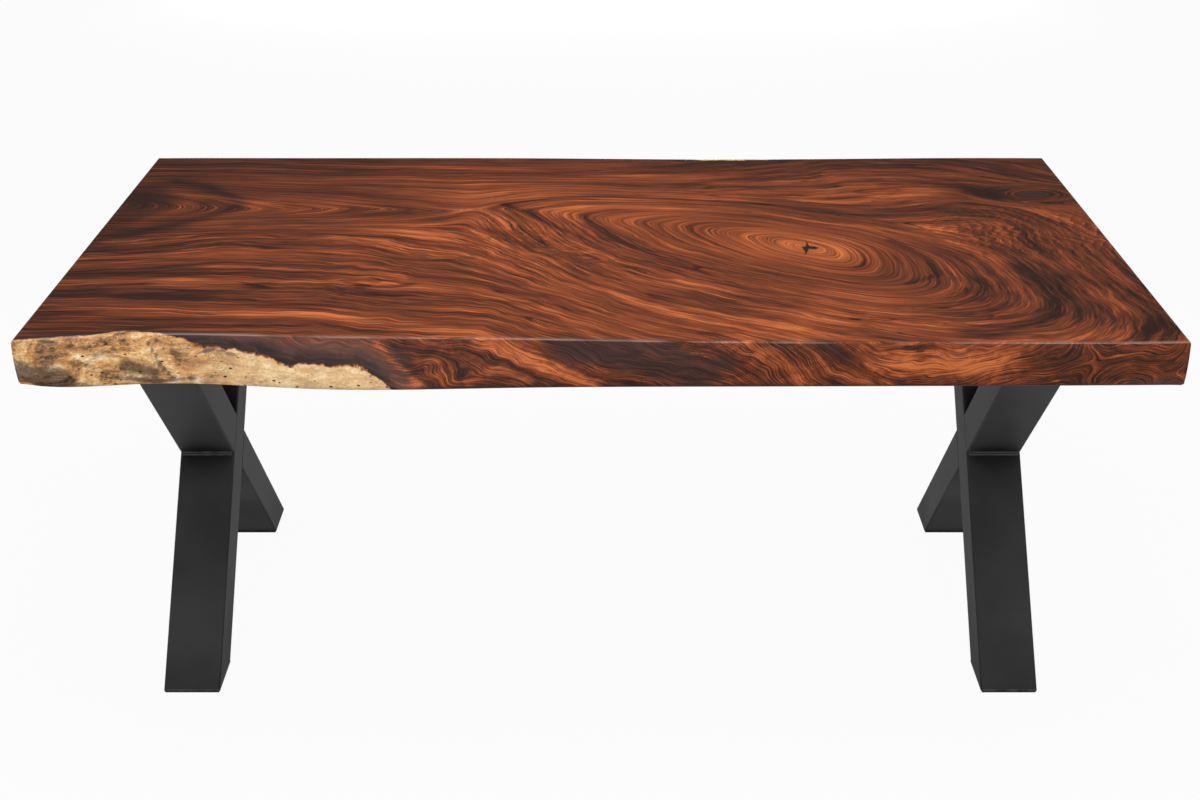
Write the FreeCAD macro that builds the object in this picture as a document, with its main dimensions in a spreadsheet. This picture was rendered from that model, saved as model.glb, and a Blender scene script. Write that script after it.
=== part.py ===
"""Live edge dining table: one thick natural-edge slab on two welded X frames of steel tube.

Millimetres, +Z up. The origin is on the floor under the middle of the slab: X runs along the slab
and the grain, and the front edge is at -Y. Nothing on the table moves.
"""
import FreeCAD, Part
import math
import os

import Sketcher

doc = FreeCAD.newDocument("live_edge_dining_table")
sheet = doc.addObject("Spreadsheet::Sheet", "size")

# Driving dimensions of the table
driving_sizes = {
    "table_height": 762,
    "slab_length": 1830,
    "slab_depth": 1000,
    "slab_thickness": 76,
    "end_overhang": 170,
    "edge_belly": 6,
    "arris_radius": 3,
    "underside_bevel": 3,
    "planing_allowance": 8,
    "base_depth": 690,
    "frame_setback": 15,
    "tube_width": 102,
    "tube_depth": 76,
    "tube_wall": 3,
    "tube_corner": 4,
    "top_plate_overhang": 18,
    "top_plate_thickness": 8,
    "top_plate_corner": 10,
    "foot_plate_thickness": 3,
    "foot_pad_thickness": 3,
    "foot_pad_inset": 2,
    "weld_leg": 5,
    "bolt_diameter": 8,
    "bolt_head_across_flats": 13,
    "bolt_head_height": 5.3,
    "bolt_flange_diameter": 17,
    "bolt_flange_thickness": 1.6,
    "bolt_engagement": 48,
    "bolt_rows": 3,
    "bolt_to_tube": 8,
    "bolt_to_plate_side": 16,
    "bolt_to_plate_end": 62,
    "slot_clearance": 0.3,
    "slot_travel": 6,
    "pilot_hole_clearance": 0.1,
    "pilot_hole_spare": 3,
    "crack_from_middle": 367,
    "crack_from_centreline": -57,
    "crack_depth": 6,
}

# Stations of the live edge: the place along the slab as a share of half its length, then how far the
# front top, front bottom, back top and back bottom arrises lie inside the slab's full depth there
live_edge = {
    "left_end": (-1.0, 21, 29, 18, 10),
    "left_corner": (-0.94, 32, 13, 17, 7),
    "left_waist": (-0.77, 50, 26, 17, 4),
    "left_belly": (-0.50, 41, 6, 17, 3),
    "left_middle": (-0.17, 32, 9, 18, 7),
    "right_middle": (0.17, 19, 14, 26, 12),
    "right_hollow": (0.50, 15, 16, 24, 10),
    "right_hip": (0.77, 14, 18, 17, 4),
    "right_corner": (0.94, 15, 20, 17, 5),
    "right_end": (1.0, 18, 21, 18, 8),
}
edge_names = ("front_top", "front_bottom", "back_top", "back_bottom")

# Outline of the crack at the pith, as offsets from its middle: a long check across the grain with a
# short one to the right
crack_outline = [
    (3, 35), (5, 8), (13, 6), (23, -3), (12, -9), (3, -5),
    (-2, -24), (-8, -41), (-5, -23), (-9, 3), (-1, 6),
]

# Sizes that follow from the driving ones
following_sizes = {
    "frame_offset": "slab_length / 2 - end_overhang",
    "bolt_column_spacing": "tube_width + bolt_flange_diameter + 2 * bolt_to_tube",
    "top_plate_width": "bolt_column_spacing + 2 * bolt_to_plate_side",
    "top_plate_length": "base_depth + 2 * top_plate_overhang",
    "bolt_row_spacing": "(top_plate_length - 2 * bolt_to_plate_end) / (bolt_rows - 1)",
    "slot_width": "bolt_diameter + 2 * slot_clearance",
    "pilot_hole": "bolt_diameter + 2 * pilot_hole_clearance",
    "slab_bottom": "table_height - slab_thickness",
    "tube_bottom": "foot_pad_thickness + foot_plate_thickness",
    "tube_top": "slab_bottom - top_plate_thickness",
    "tube_rise": "tube_top - tube_bottom",
    "leg_angle": "atan(tube_rise / base_depth) + asin(tube_depth / sqrt(base_depth^2 + tube_rise^2))",
    "foot_length": "tube_depth / sin(leg_angle)",
    "wall_run": "tube_wall / sin(leg_angle)",
    "wall_rise": "tube_wall / cos(leg_angle)",
    "cross_height": "(tube_bottom + tube_top) / 2",
    "cross_half": "foot_length / 2 * tan(leg_angle)",
    "weld_run": "weld_leg * cos(leg_angle)",
    "weld_rise": "weld_leg * sin(leg_angle)",
    "weld_length": "tube_width - 2 * tube_corner",
    "flange_bottom": "tube_top - bolt_flange_thickness",
}

BOLT_COLUMNS = 2
HEXAGON_SIDES = 6
TOUCHING = 1e-4
SIDES = {"left": -1, "right": 1}


def fill_sheet():
    """Write every size into the sheet under its own name."""
    cells = {name: str(value) for name, value in driving_sizes.items()}
    for station, (place, *insets) in live_edge.items():
        cells[f"{station}_place"] = str(place)
        for edge, inset in zip(edge_names, insets):
            cells[f"{station}_{edge}"] = str(inset)
    for corner, (across, up) in enumerate(crack_outline, start=1):
        cells[f"crack_corner_{corner}_x"] = str(across)
        cells[f"crack_corner_{corner}_y"] = str(up)
    for name, formula in following_sizes.items():
        cells[name] = "=" + formula
    for row, (name, content) in enumerate(cells.items(), start=1):
        sheet.set(f"A{row}", name)
        sheet.set(f"B{row}", content)
        sheet.setAlias(f"B{row}", name)
    doc.recompute()


def number(expression):
    """The present value of an expression of the sheet, as a plain number."""
    value = sheet.evalExpression(expression)
    return float(getattr(value, "Value", value))


def new_body(label, side=None):
    """A body with its own label, in the middle of the table or at the left or right frame."""
    body = doc.addObject("PartDesign::Body", label)
    body.Label = label
    if side:
        body.setExpression("Placement.Base.x", f"{SIDES[side]} * size.frame_offset")
        body.setExpression("Placement.Base.y", "size.frame_setback")
    pieces.append(body)
    return body


def new_sketch(body, name, plane, offset="0"):
    """A sketch on one of the body's own origin planes, moved along the plane's normal."""
    sketch = body.newObject("Sketcher::SketchObject", name)
    for feature in body.Origin.OriginFeatures:
        if feature.Role == plane:
            sketch.AttachmentSupport = [(feature, "")]
    sketch.MapMode = "FlatFace"
    sketch.setExpression("AttachmentOffset.Base.z", offset)
    return sketch


def bind(sketch, kind, targets, expression):
    """Add one dimension to a sketch and tie it to the sheet."""
    index = sketch.addConstraint(Sketcher.Constraint(kind, *targets, number(expression)))
    sketch.setExpression(f"Constraints[{index}]", expression)


def pin(sketch, geometry, point, across, up):
    """Hold a point of a sketch at two expressions, measured from the sketch's origin."""
    bind(sketch, "DistanceX", (-1, 1, geometry, point), across)
    bind(sketch, "DistanceY", (-1, 1, geometry, point), up)


def flat_point(across, up):
    """A point in a sketch's plane, from two expressions."""
    return FreeCAD.Vector(number(across), number(up), 0)


def add_polygon(sketch, corners):
    """A closed outline of straight lines through corners that are pairs of expressions."""
    first = sketch.GeometryCount
    places = [flat_point(*corner) for corner in corners]
    for index, place in enumerate(places):
        following = places[(index + 1) % len(places)]
        sketch.addGeometry(Part.LineSegment(place, following))
    for index, corner in enumerate(corners):
        line = first + index
        following = first + (index + 1) % len(corners)
        sketch.addConstraint(Sketcher.Constraint("Coincident", line, 2, following, 1))
        pin(sketch, line, 1, *corner)


def add_circle(sketch, across, up, diameter):
    """A circle whose middle and diameter are expressions."""
    normal = FreeCAD.Vector(0, 0, 1)
    circle = sketch.addGeometry(Part.Circle(flat_point(across, up), normal, number(diameter) / 2))
    pin(sketch, circle, 3, across, up)
    bind(sketch, "Diameter", (circle,), diameter)


def add_slot(sketch, across, up, width, travel):
    """A round-ended slot along the sketch's second axis, centred on a point."""
    normal = FreeCAD.Vector(0, 0, 1)
    radius = f"({width}) / 2"
    ends = [f"{up} + {travel} / 2", f"{up} - {travel} / 2"]
    arcs = []
    for turn, end in enumerate(ends):
        circle = Part.Circle(flat_point(across, end), normal, number(radius))
        arcs.append(sketch.addGeometry(Part.ArcOfCircle(circle, turn * math.pi, (turn + 1) * math.pi)))
    left, right = (f"{across} - {radius}", f"{across} + {radius}")
    down = sketch.addGeometry(Part.LineSegment(flat_point(left, ends[0]), flat_point(left, ends[1])))
    rise = sketch.addGeometry(Part.LineSegment(flat_point(right, ends[1]), flat_point(right, ends[0])))
    for arc, end in zip(arcs, ends):
        pin(sketch, arc, 3, across, end)
        bind(sketch, "Radius", (arc,), radius)
    for first, second in ((arcs[0], down), (down, arcs[1]), (arcs[1], rise), (rise, arcs[0])):
        sketch.addConstraint(Sketcher.Constraint("Tangent", first, 2, second, 1))


def add_feature(body, kind, name, sketch, length, symmetric=False, backwards=False):
    """A pad or pocket of a sketch by a length from the sheet."""
    feature = body.newObject(f"PartDesign::{kind}", name)
    feature.Profile = sketch
    feature.SideType = "Symmetric" if symmetric else "One side"
    feature.Reversed = backwards
    feature.setExpression("Length", length)
    sketch.Visibility = False
    return feature


def ease_edges(body, kind, name, base, chosen, size):
    """Round (Fillet) or bevel (Chamfer) the edges of a feature that the chosen test picks."""
    doc.recompute()
    edges = [f"Edge{index}" for index, edge in enumerate(base.Shape.Edges, start=1) if chosen(edge)]
    feature = body.newObject(f"PartDesign::{kind}", name)
    feature.Base = (base, edges)
    feature.setExpression("Radius" if kind == "Fillet" else "Size", size)
    return feature


def add_pattern(body, name, original):
    """Repeat a feature over the bolt pattern, from its first column and row."""
    axes = {feature.Role: feature for feature in body.Origin.OriginFeatures}
    pattern = body.newObject("PartDesign::LinearPattern", name)
    pattern.Originals = original
    pattern.Direction = (axes["X_Axis"], [""])
    pattern.Occurrences = BOLT_COLUMNS
    pattern.setExpression("Length", f"size.bolt_column_spacing * {BOLT_COLUMNS - 1}")
    pattern.Direction2 = (axes["Y_Axis"], [""])
    pattern.setExpression("Occurrences2", "size.bolt_rows")
    pattern.setExpression("Length2", "size.bolt_row_spacing * (size.bolt_rows - 1)")
    body.Tip = pattern
    return pattern


def upright(edge):
    """True for an edge that runs straight up."""
    start, end = edge.Vertexes[0].Point, edge.Vertexes[-1].Point
    return math.hypot(end.x - start.x, end.y - start.y) < TOUCHING < abs(end.z - start.z)


def level_with(height):
    """A test for edges that lie at a height of the sheet."""
    level = number(height)

    def test(edge):
        return all(abs(vertex.Z - level) < TOUCHING for vertex in edge.Vertexes)
    return test


def along_leg(lean):
    """A test for edges along a tube that leans back (1) or forward (-1) as it rises."""
    def test(edge):
        start, end = edge.Vertexes[0].Point, edge.Vertexes[-1].Point
        leaning = (end.y - start.y) * (end.z - start.z) * lean
        return abs(end.x - start.x) < TOUCHING < leaning
    return test


# The first column and row of the bolt pattern, measured from the frame's own middle
first_column = f"-size.bolt_column_spacing * {(BOLT_COLUMNS - 1) / 2}"
first_row = "-size.bolt_row_spacing * (size.bolt_rows - 1) / 2"


def bolt_places(side):
    """Every bolt place of a frame, in the table's own frame."""
    frame_middle = f"{SIDES[side]} * size.frame_offset"
    for column in range(BOLT_COLUMNS):
        across = f"{frame_middle} + {first_column} + {column} * size.bolt_column_spacing"
        for row in range(round(number("size.bolt_rows"))):
            yield across, f"size.frame_setback + {first_row} + {row} * size.bolt_row_spacing"


def crack_corners():
    """The crack's outline as expressions."""
    for corner in range(1, len(crack_outline) + 1):
        yield (f"size.crack_from_middle + size.crack_corner_{corner}_x",
               f"size.crack_from_centreline + size.crack_corner_{corner}_y")


def add_edge_arc(sketch, start, end, chord_run, chord_rise):
    """One live edge in a section: an arc that swells outward by the edge's belly."""
    first, last = flat_point(*start), flat_point(*end)
    outward = FreeCAD.Vector(last.y - first.y, first.x - last.x, 0)
    outward.normalize()
    crown = (first + last) / 2 + outward * number("size.edge_belly")
    arc = sketch.addGeometry(Part.Arc(first, crown, last))
    radius = f"(({chord_run})^2 + ({chord_rise})^2) / 8 / size.edge_belly + size.edge_belly / 2"
    bind(sketch, "Radius", (arc,), radius)
    return arc


def slab_section(body, station):
    """The slab's rough sawn section at one station, thicker than the planed slab on both faces."""
    lean = "size.planing_allowance / size.slab_thickness"
    low = "size.slab_bottom - size.planing_allowance"
    high = "size.table_height + size.planing_allowance"
    rise = "size.slab_thickness + 2 * size.planing_allowance"
    corners = {}
    for edge, sign in (("front", -1), ("back", 1)):
        top, bottom = f"size.{station}_{edge}_top", f"size.{station}_{edge}_bottom"
        slope = f"({bottom} - {top}) * {lean}"
        corners[edge, "high"] = (f"{sign} * (size.slab_depth / 2 - {top} + {slope})", high)
        corners[edge, "low"] = (f"{sign} * (size.slab_depth / 2 - {bottom} - {slope})", low)
    place = f"size.{station}_place * size.slab_length / 2"
    sketch = new_sketch(body, f"section_{station}", "YZ_Plane", place)
    underside = sketch.addGeometry(
        Part.LineSegment(flat_point(*corners["front", "low"]), flat_point(*corners["back", "low"])))
    face = sketch.addGeometry(
        Part.LineSegment(flat_point(*corners["back", "high"]), flat_point(*corners["front", "high"])))
    for line, edges, level in ((underside, ("front", "back"), "low"), (face, ("back", "front"), "high")):
        for point, edge in enumerate(edges, start=1):
            pin(sketch, line, point, *corners[edge, level])
    for edge, start, end, joined in (("back", "low", "high", (underside, face)),
                                     ("front", "high", "low", (face, underside))):
        run = f"{corners[edge, 'high'][0]} - {corners[edge, 'low'][0]}"
        arc = add_edge_arc(sketch, corners[edge, start], corners[edge, end], run, rise)
        sketch.addConstraint(Sketcher.Constraint("Coincident", arc, 1, joined[0], 2))
        sketch.addConstraint(Sketcher.Constraint("Coincident", arc, 2, joined[1], 1))
    return sketch


def plane_face(body, name, level, backwards):
    """Plane the rough slab flat at a level: everything beyond it comes off."""
    sketch = new_sketch(body, f"{name}_outline", "XY_Plane", level)
    add_polygon(sketch, [(f"{x} * size.slab_length", f"{y} * size.slab_depth")
                         for x, y in ((-1, -1), (1, -1), (1, 1), (-1, 1))])
    return add_feature(body, "Pocket", name, sketch, "4 * size.planing_allowance", backwards=backwards)


def slab_top():
    """The slab: lofted through its live-edge sections, planed flat, drilled and with eased arrises."""
    body = new_body("slab_top")
    sections = [slab_section(body, station) for station in live_edge]
    loft = body.newObject("PartDesign::AdditiveLoft", "rough_slab")
    loft.Profile = sections[0]
    loft.Sections = sections[1:]
    loft.Ruled = False
    plane_face(body, "planed_top", "size.table_height", backwards=True)
    planed = plane_face(body, "planed_underside", "size.slab_bottom", backwards=False)

    rounded = ease_edges(body, "Fillet", "rounded_arrises", planed, level_with("size.table_height"),
                         "size.arris_radius")
    ease_edges(body, "Chamfer", "bevelled_underside", rounded, level_with("size.slab_bottom"),
               "size.underside_bevel")
    holes = new_sketch(body, "pilot_hole_outlines", "XY_Plane", "size.slab_bottom")
    for side in SIDES:
        for across, up in bolt_places(side):
            add_circle(holes, across, up, "size.pilot_hole")
    hole_depth = "size.bolt_engagement + size.pilot_hole_spare"
    add_feature(body, "Pocket", "pilot_holes", holes, hole_depth, backwards=True)
    crack = new_sketch(body, "crack_outline", "XY_Plane", "size.table_height")
    add_polygon(crack, list(crack_corners()))
    add_feature(body, "Pocket", "crack_pocket", crack, "size.crack_depth")


def pith_crack_fill():
    """Dark resin that fills the crack, flush with the slab's face."""
    body = new_body("pith_crack_fill")
    sketch = new_sketch(body, "crack_fill_outline", "XY_Plane", "size.table_height")
    add_polygon(sketch, list(crack_corners()))
    add_feature(body, "Pad", "crack_fill", sketch, "size.crack_depth", backwards=True)


def hollow_tube(label, side, lean, outline, bore):
    """A mitred length of rectangular tube, from its side view and the side view of its bore."""
    body = new_body(label, side)
    sketch = new_sketch(body, f"{label}_side", "YZ_Plane")
    add_polygon(sketch, outline)
    tube = add_feature(body, "Pad", f"{label}_tube", sketch, "size.tube_width", symmetric=True)
    ease_edges(body, "Fillet", f"{label}_corners", tube, along_leg(lean), "size.tube_corner")
    hollow = new_sketch(body, f"{label}_bore_side", "YZ_Plane")
    add_polygon(hollow, bore)
    bore_width = "size.tube_width - 2 * size.tube_wall"
    add_feature(body, "Pocket", f"{label}_bore", hollow, bore_width, symmetric=True)


def through_leg(side):
    """The unbroken tube from the front foot to the back of the top."""
    outline = [("-size.base_depth / 2", "size.tube_bottom"),
               ("-size.base_depth / 2 + size.foot_length", "size.tube_bottom"),
               ("size.base_depth / 2", "size.tube_top"),
               ("size.base_depth / 2 - size.foot_length", "size.tube_top")]
    bore = [("-size.base_depth / 2 + size.wall_run", "size.tube_bottom"),
            ("-size.base_depth / 2 + size.foot_length - size.wall_run", "size.tube_bottom"),
            ("size.base_depth / 2 - size.wall_run", "size.tube_top"),
            ("size.base_depth / 2 - size.foot_length + size.wall_run", "size.tube_top")]
    hollow_tube(f"{side}_through_leg", side, 1, outline, bore)


def half_leg(side, name, end_level, sign):
    """Half of the other leg, mitred at its end and butted on the through leg at the crossing.

    The upper half (sign -1) rises to the front, and the lower half (sign 1) falls to the back.
    """
    outer = f"{sign} * size.base_depth / 2"
    inner = f"{sign} * (size.base_depth / 2 - size.foot_length)"
    outline = [(outer, end_level), (inner, end_level),
               ("0", f"size.cross_height - {sign} * size.cross_half"),
               (f"{sign} * size.foot_length / 2", "size.cross_height")]
    far_corner = f"size.cross_height - {sign} * (size.cross_half - size.wall_rise / 2)"
    near_corner = f"size.cross_height - {sign} * size.wall_rise / 2"
    bore = [(f"{outer} - {sign} * size.wall_run", end_level),
            (f"{inner} + {sign} * size.wall_run", end_level),
            (f"{sign} * size.wall_run / 2", far_corner),
            (f"{sign} * (size.foot_length - size.wall_run) / 2", near_corner)]
    hollow_tube(f"{side}_{name}_half_leg", side, -1, outline, bore)


def welds(side, name, corners):
    """Fillet weld beads across the tubes: each from its root and the ends of its two legs."""
    body = new_body(f"{side}_{name}_welds", side)
    sketch = new_sketch(body, f"{side}_{name}_weld_ends", "YZ_Plane")
    for corner in corners:
        add_polygon(sketch, corner)
    add_feature(body, "Pad", f"{side}_{name}_beads", sketch, "size.weld_length", symmetric=True)


def bead(root, *legs):
    """A weld bead's triangle: its root, and each leg's end as offsets from the root."""
    return [root] + [(f"{root[0]} + {across}", f"{root[1]} + {up}") for across, up in legs]


def cross_welds(side):
    """The four beads in the corners where the two half legs meet the through leg."""
    run, rise = "size.weld_run", "size.weld_rise"
    front = bead(("-size.foot_length / 2", "size.cross_height"), (f"-{run}", rise), (f"-{run}", f"-{rise}"))
    back = bead(("size.foot_length / 2", "size.cross_height"), (run, f"-{rise}"), (run, rise))
    above = bead(("0", "size.cross_height + size.cross_half"), (run, rise), (f"-{run}", rise))
    below = bead(("0", "size.cross_height - size.cross_half"), (f"-{run}", f"-{rise}"), (run, f"-{rise}"))
    welds(side, "cross", [front, back, above, below])


def plate_welds(side):
    """The four beads that hold the top plate on the two leg tops."""
    corners = []
    for sign in SIDES.values():
        tube_face = (f"-{sign} * size.weld_run", "-size.weld_rise")
        outer = f"{sign} * size.base_depth / 2"
        inner = f"{sign} * (size.base_depth / 2 - size.foot_length)"
        corners.append(bead((outer, "size.tube_top"), (f"{sign} * size.weld_leg", "0"), tube_face))
        corners.append(bead((inner, "size.tube_top"), (f"-{sign} * size.weld_leg", "0"), tube_face))
    welds(side, "plate", corners)


def plate(label, side, left, right, front, back, level, thickness, corner=None):
    """A flat plate, from its four sides in the frame's own place, with square or rounded corners."""
    body = new_body(label, side)
    sketch = new_sketch(body, f"{label}_outline", "XY_Plane", level)
    add_polygon(sketch, [(left, front), (right, front), (right, back), (left, back)])
    blank = add_feature(body, "Pad", f"{label}_blank", sketch, thickness)
    if corner:
        ease_edges(body, "Fillet", f"{label}_corners", blank, upright, corner)
    return body


def top_plate(side):
    """The mounting plate on the leg tops, with slots that let the slab move across its grain."""
    half_width, half_length = "size.top_plate_width / 2", "size.top_plate_length / 2"
    label = f"{side}_top_plate"
    body = plate(label, side, f"-{half_width}", half_width, f"-{half_length}", half_length,
                 "size.tube_top", "size.top_plate_thickness", "size.top_plate_corner")
    sketch = new_sketch(body, f"{label}_slot", "XY_Plane", "size.tube_top")
    add_slot(sketch, first_column, first_row, "size.slot_width", "size.slot_travel")
    depth = "size.top_plate_thickness"
    slot = add_feature(body, "Pocket", f"{label}_first_slot", sketch, depth, backwards=True)
    add_pattern(body, f"{label}_slots", [slot])


def foot(side, name, sign):
    """A foot: the plate that closes the tube's end, and the thin pad cut square under it."""
    inner = f"{sign} * (size.base_depth / 2 - size.foot_length)"
    outer = f"{sign} * size.base_depth / 2"
    front, back = (outer, inner) if sign < 0 else (inner, outer)
    half_width = "size.tube_width / 2"
    plate(f"{side}_{name}_foot_plate", side, f"-{half_width}", half_width, front, back,
          "size.foot_pad_thickness", "size.foot_plate_thickness", "size.tube_corner")
    inset = "size.foot_pad_inset"
    plate(f"{side}_{name}_foot_pad", side, f"-{half_width} + {inset}", f"{half_width} - {inset}",
          f"{front} + {inset}", f"{back} - {inset}", "0", "size.foot_pad_thickness")


def bolts(side):
    """Hex lag bolts from below, each with its flange on the plate and its shank in a pilot hole."""
    body = new_body(f"{side}_bolts", side)
    flange = new_sketch(body, f"{side}_bolt_flange_end", "XY_Plane", "size.flange_bottom")
    add_circle(flange, first_column, first_row, "size.bolt_flange_diameter")
    flange_pad = add_feature(body, "Pad", f"{side}_bolt_flange", flange, "size.bolt_flange_thickness")
    shank = new_sketch(body, f"{side}_bolt_shank_end", "XY_Plane", "size.tube_top")
    add_circle(shank, first_column, first_row, "size.bolt_diameter")
    length = "size.top_plate_thickness + size.bolt_engagement"
    shank_pad = add_feature(body, "Pad", f"{side}_bolt_shank", shank, length)
    head = new_sketch(body, f"{side}_bolt_head_end", "XY_Plane", "size.flange_bottom")
    corners = []
    for corner in range(HEXAGON_SIDES):
        turn = math.radians(corner * 360 / HEXAGON_SIDES)
        reach = f"size.bolt_head_across_flats / {2 * math.cos(math.pi / HEXAGON_SIDES):.9f}"
        corners.append((f"{first_column} + {math.cos(turn):.9f} * {reach}",
                        f"{first_row} + {math.sin(turn):.9f} * {reach}"))
    add_polygon(head, corners)
    head_pad = add_feature(body, "Pad", f"{side}_bolt_head", head, "size.bolt_head_height", backwards=True)
    add_pattern(body, f"{side}_bolt_set", [flange_pad, shank_pad, head_pad])


def check_document():
    """Stop if anything in the document failed, or a piece is not sound."""
    failed = [item.Name for item in doc.Objects if {"Invalid", "Error"} & set(item.State)]
    if failed:
        raise RuntimeError(f"failed: {', '.join(failed)}")
    for piece in pieces:
        if piece.Shape.isNull() or not piece.Shape.isValid():
            raise RuntimeError(f"{piece.Label} is not a sound shape")


pieces = []
fill_sheet()
slab_top()
pith_crack_fill()
for frame_side in SIDES:
    through_leg(frame_side)
    half_leg(frame_side, "upper", "size.tube_top", -1)
    half_leg(frame_side, "lower", "size.tube_bottom", 1)
    top_plate(frame_side)
    foot(frame_side, "front", -1)
    foot(frame_side, "rear", 1)
    cross_welds(frame_side)
    plate_welds(frame_side)
    bolts(frame_side)

doc.recompute()
check_document()
os.makedirs("parts", exist_ok=True)
for piece in pieces:
    piece.Shape.exportStep(f"parts/{piece.Label}.step")
    box = piece.Shape.optimalBoundingBox(False, False)
    print(f"{piece.Label}: {len(piece.Shape.Solids)} solids, {piece.Shape.Volume:.0f} mm3,",
          f"x {box.XMin:.1f} to {box.XMax:.1f}, y {box.YMin:.1f} to {box.YMax:.1f},",
          f"z {box.ZMin:.1f} to {box.ZMax:.1f}")
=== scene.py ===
# %% [markdown]
# # Live edge dining table
#
# A thick slab of figured red-brown hardwood with its natural edges, on two welded X frames of
# rectangular steel tube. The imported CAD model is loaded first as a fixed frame. Each later step
# dresses one piece of it, so every piece sits where the CAD model says. Building the table a second
# time by eye would be quicker to start with, but its pieces would soon drift from their true sizes.

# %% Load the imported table
import math

import bmesh
import bpy
import numpy as np
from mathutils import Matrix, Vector
from mathutils.bvhtree import BVHTree


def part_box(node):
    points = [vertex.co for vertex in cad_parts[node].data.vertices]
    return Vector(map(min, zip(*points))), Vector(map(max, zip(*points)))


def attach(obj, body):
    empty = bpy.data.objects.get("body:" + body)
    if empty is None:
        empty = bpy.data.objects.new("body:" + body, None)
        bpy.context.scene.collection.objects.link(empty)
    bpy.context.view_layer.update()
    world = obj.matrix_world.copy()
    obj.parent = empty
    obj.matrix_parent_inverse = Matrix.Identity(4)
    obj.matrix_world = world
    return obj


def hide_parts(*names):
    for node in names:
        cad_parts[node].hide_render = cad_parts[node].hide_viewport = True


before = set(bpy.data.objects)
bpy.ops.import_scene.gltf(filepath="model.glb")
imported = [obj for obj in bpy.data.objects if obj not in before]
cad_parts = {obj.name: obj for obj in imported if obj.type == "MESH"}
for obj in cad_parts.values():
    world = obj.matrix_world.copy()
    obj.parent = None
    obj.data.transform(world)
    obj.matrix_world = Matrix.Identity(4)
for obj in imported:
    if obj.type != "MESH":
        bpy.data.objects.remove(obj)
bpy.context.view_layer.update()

scene = bpy.context.scene
MM = 0.001
print("nodes:", len(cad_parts))

# %% [markdown]
# ## The camera
#
# The picture looks down on the table from the front, with the table's middle in the middle of the
# picture. A camera that is level from side to side and tilted down gives the same lines, so three
# facts set it: how long its lens is, where it stands and how far it looks down. A camera placed by
# hand until it looks right would do for one picture, but these three numbers can be checked.

# %% Camera
PICTURE_WIDTH_PIXELS = 1200
FOCAL_PIXELS = 1682
LOOK_DOWN = math.radians(25.125)
CAMERA_PLACE = (-0.9 * MM, -2880.7 * MM, 1786.6 * MM)

camera_data = bpy.data.cameras.new("table_camera")
camera_data.sensor_fit = "HORIZONTAL"
camera_data.lens = camera_data.sensor_width * FOCAL_PIXELS / PICTURE_WIDTH_PIXELS
camera = bpy.data.objects.new("table_camera", camera_data)
camera.location = CAMERA_PLACE
camera.rotation_euler = (math.pi / 2 - LOOK_DOWN, 0, 0)
scene.collection.objects.link(camera)
scene.camera = camera
print("lens:", round(camera_data.lens, 2), "mm")

# %% [markdown]
# ## Small tools for shader nodes
#
# Every finish here is a node material. These helpers add one node each and hand back the socket
# that the next node needs, so a finish reads from top to bottom like a recipe. Nodes can be placed by
# hand in the editor too, but a recipe is easier to read again and to change. A value that is a socket
# is linked, and a plain number or colour is set on the node itself.

# %% Helpers for colours and arithmetic
COLOUR_A, COLOUR_B, COLOUR_OUT = 6, 7, 2


def paint(red, green, blue):
    """A colour as it looks on a screen, 0 to 255, turned into the linear colour that nodes take."""
    linear = []
    for level in (red, green, blue):
        share = level / 255
        linear.append(share / 12.92 if share <= 0.04045 else ((share + 0.055) / 1.055) ** 2.4)
    return (*linear, 1.0)


def feed(tree, socket, value):
    """Link a socket in, or set a plain value."""
    if isinstance(value, bpy.types.NodeSocket):
        tree.links.new(value, socket)
    else:
        socket.default_value = value


def maths(tree, operation, *values, clamp=False):
    """One step of arithmetic."""
    node = tree.nodes.new("ShaderNodeMath")
    node.operation = operation
    node.use_clamp = clamp
    for socket, value in zip(node.inputs, values):
        feed(tree, socket, value)
    return node.outputs["Value"]


def times(tree, first, second, clamp=False):
    """One value multiplied by another."""
    return maths(tree, "MULTIPLY", first, second, clamp=clamp)


def add_share(tree, value, share, base, clamp=False):
    """A base with a share of a value added to it."""
    return maths(tree, "MULTIPLY_ADD", value, share, base, clamp=clamp)


def swayed(tree, value, share, mask):
    """A value made stronger by a share, or weaker if the share is below zero, where a mask says so."""
    return times(tree, value, add_share(tree, mask, share, 1.0))


def fade(tree, value, low, high):
    """A soft switch: 0 at low and 1 at high. Low may be the larger of the two."""
    node = tree.nodes.new("ShaderNodeMapRange")
    node.interpolation_type = "SMOOTHSTEP"
    feed(tree, node.inputs["Value"], value)
    node.inputs["From Min"].default_value = low
    node.inputs["From Max"].default_value = high
    return node.outputs["Result"]


def mingle(tree, share, first, second, mode="MIX"):
    """Two colours mixed by a share."""
    node = tree.nodes.new("ShaderNodeMix")
    node.data_type = "RGBA"
    node.blend_type = mode
    feed(tree, node.inputs["Factor"], share)
    feed(tree, node.inputs[COLOUR_A], first)
    feed(tree, node.inputs[COLOUR_B], second)
    return node.outputs[COLOUR_OUT]


print("middle grey in linear light:", round(paint(128, 128, 128)[0], 3))

# %% Helpers for patterns
def colour_scale(tree, value, stops):
    """A colour looked up on a scale of stops, each a place from 0 to 1 and a colour."""
    node = tree.nodes.new("ShaderNodeValToRGB")
    marks = node.color_ramp.elements
    for mark, (place, colour) in ((marks[0], stops[0]), (marks[1], stops[-1])):
        mark.position = place
        mark.color = colour
    for place, colour in stops[1:-1]:
        marks.new(place).color = colour
    feed(tree, node.inputs["Fac"], value)
    return node.outputs["Color"]


def stretched(tree, vector, scale):
    """A coordinate multiplied by its own factor on each axis."""
    node = tree.nodes.new("ShaderNodeMapping")
    feed(tree, node.inputs["Vector"], vector)
    node.inputs["Scale"].default_value = scale
    return node.outputs["Vector"]


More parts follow.
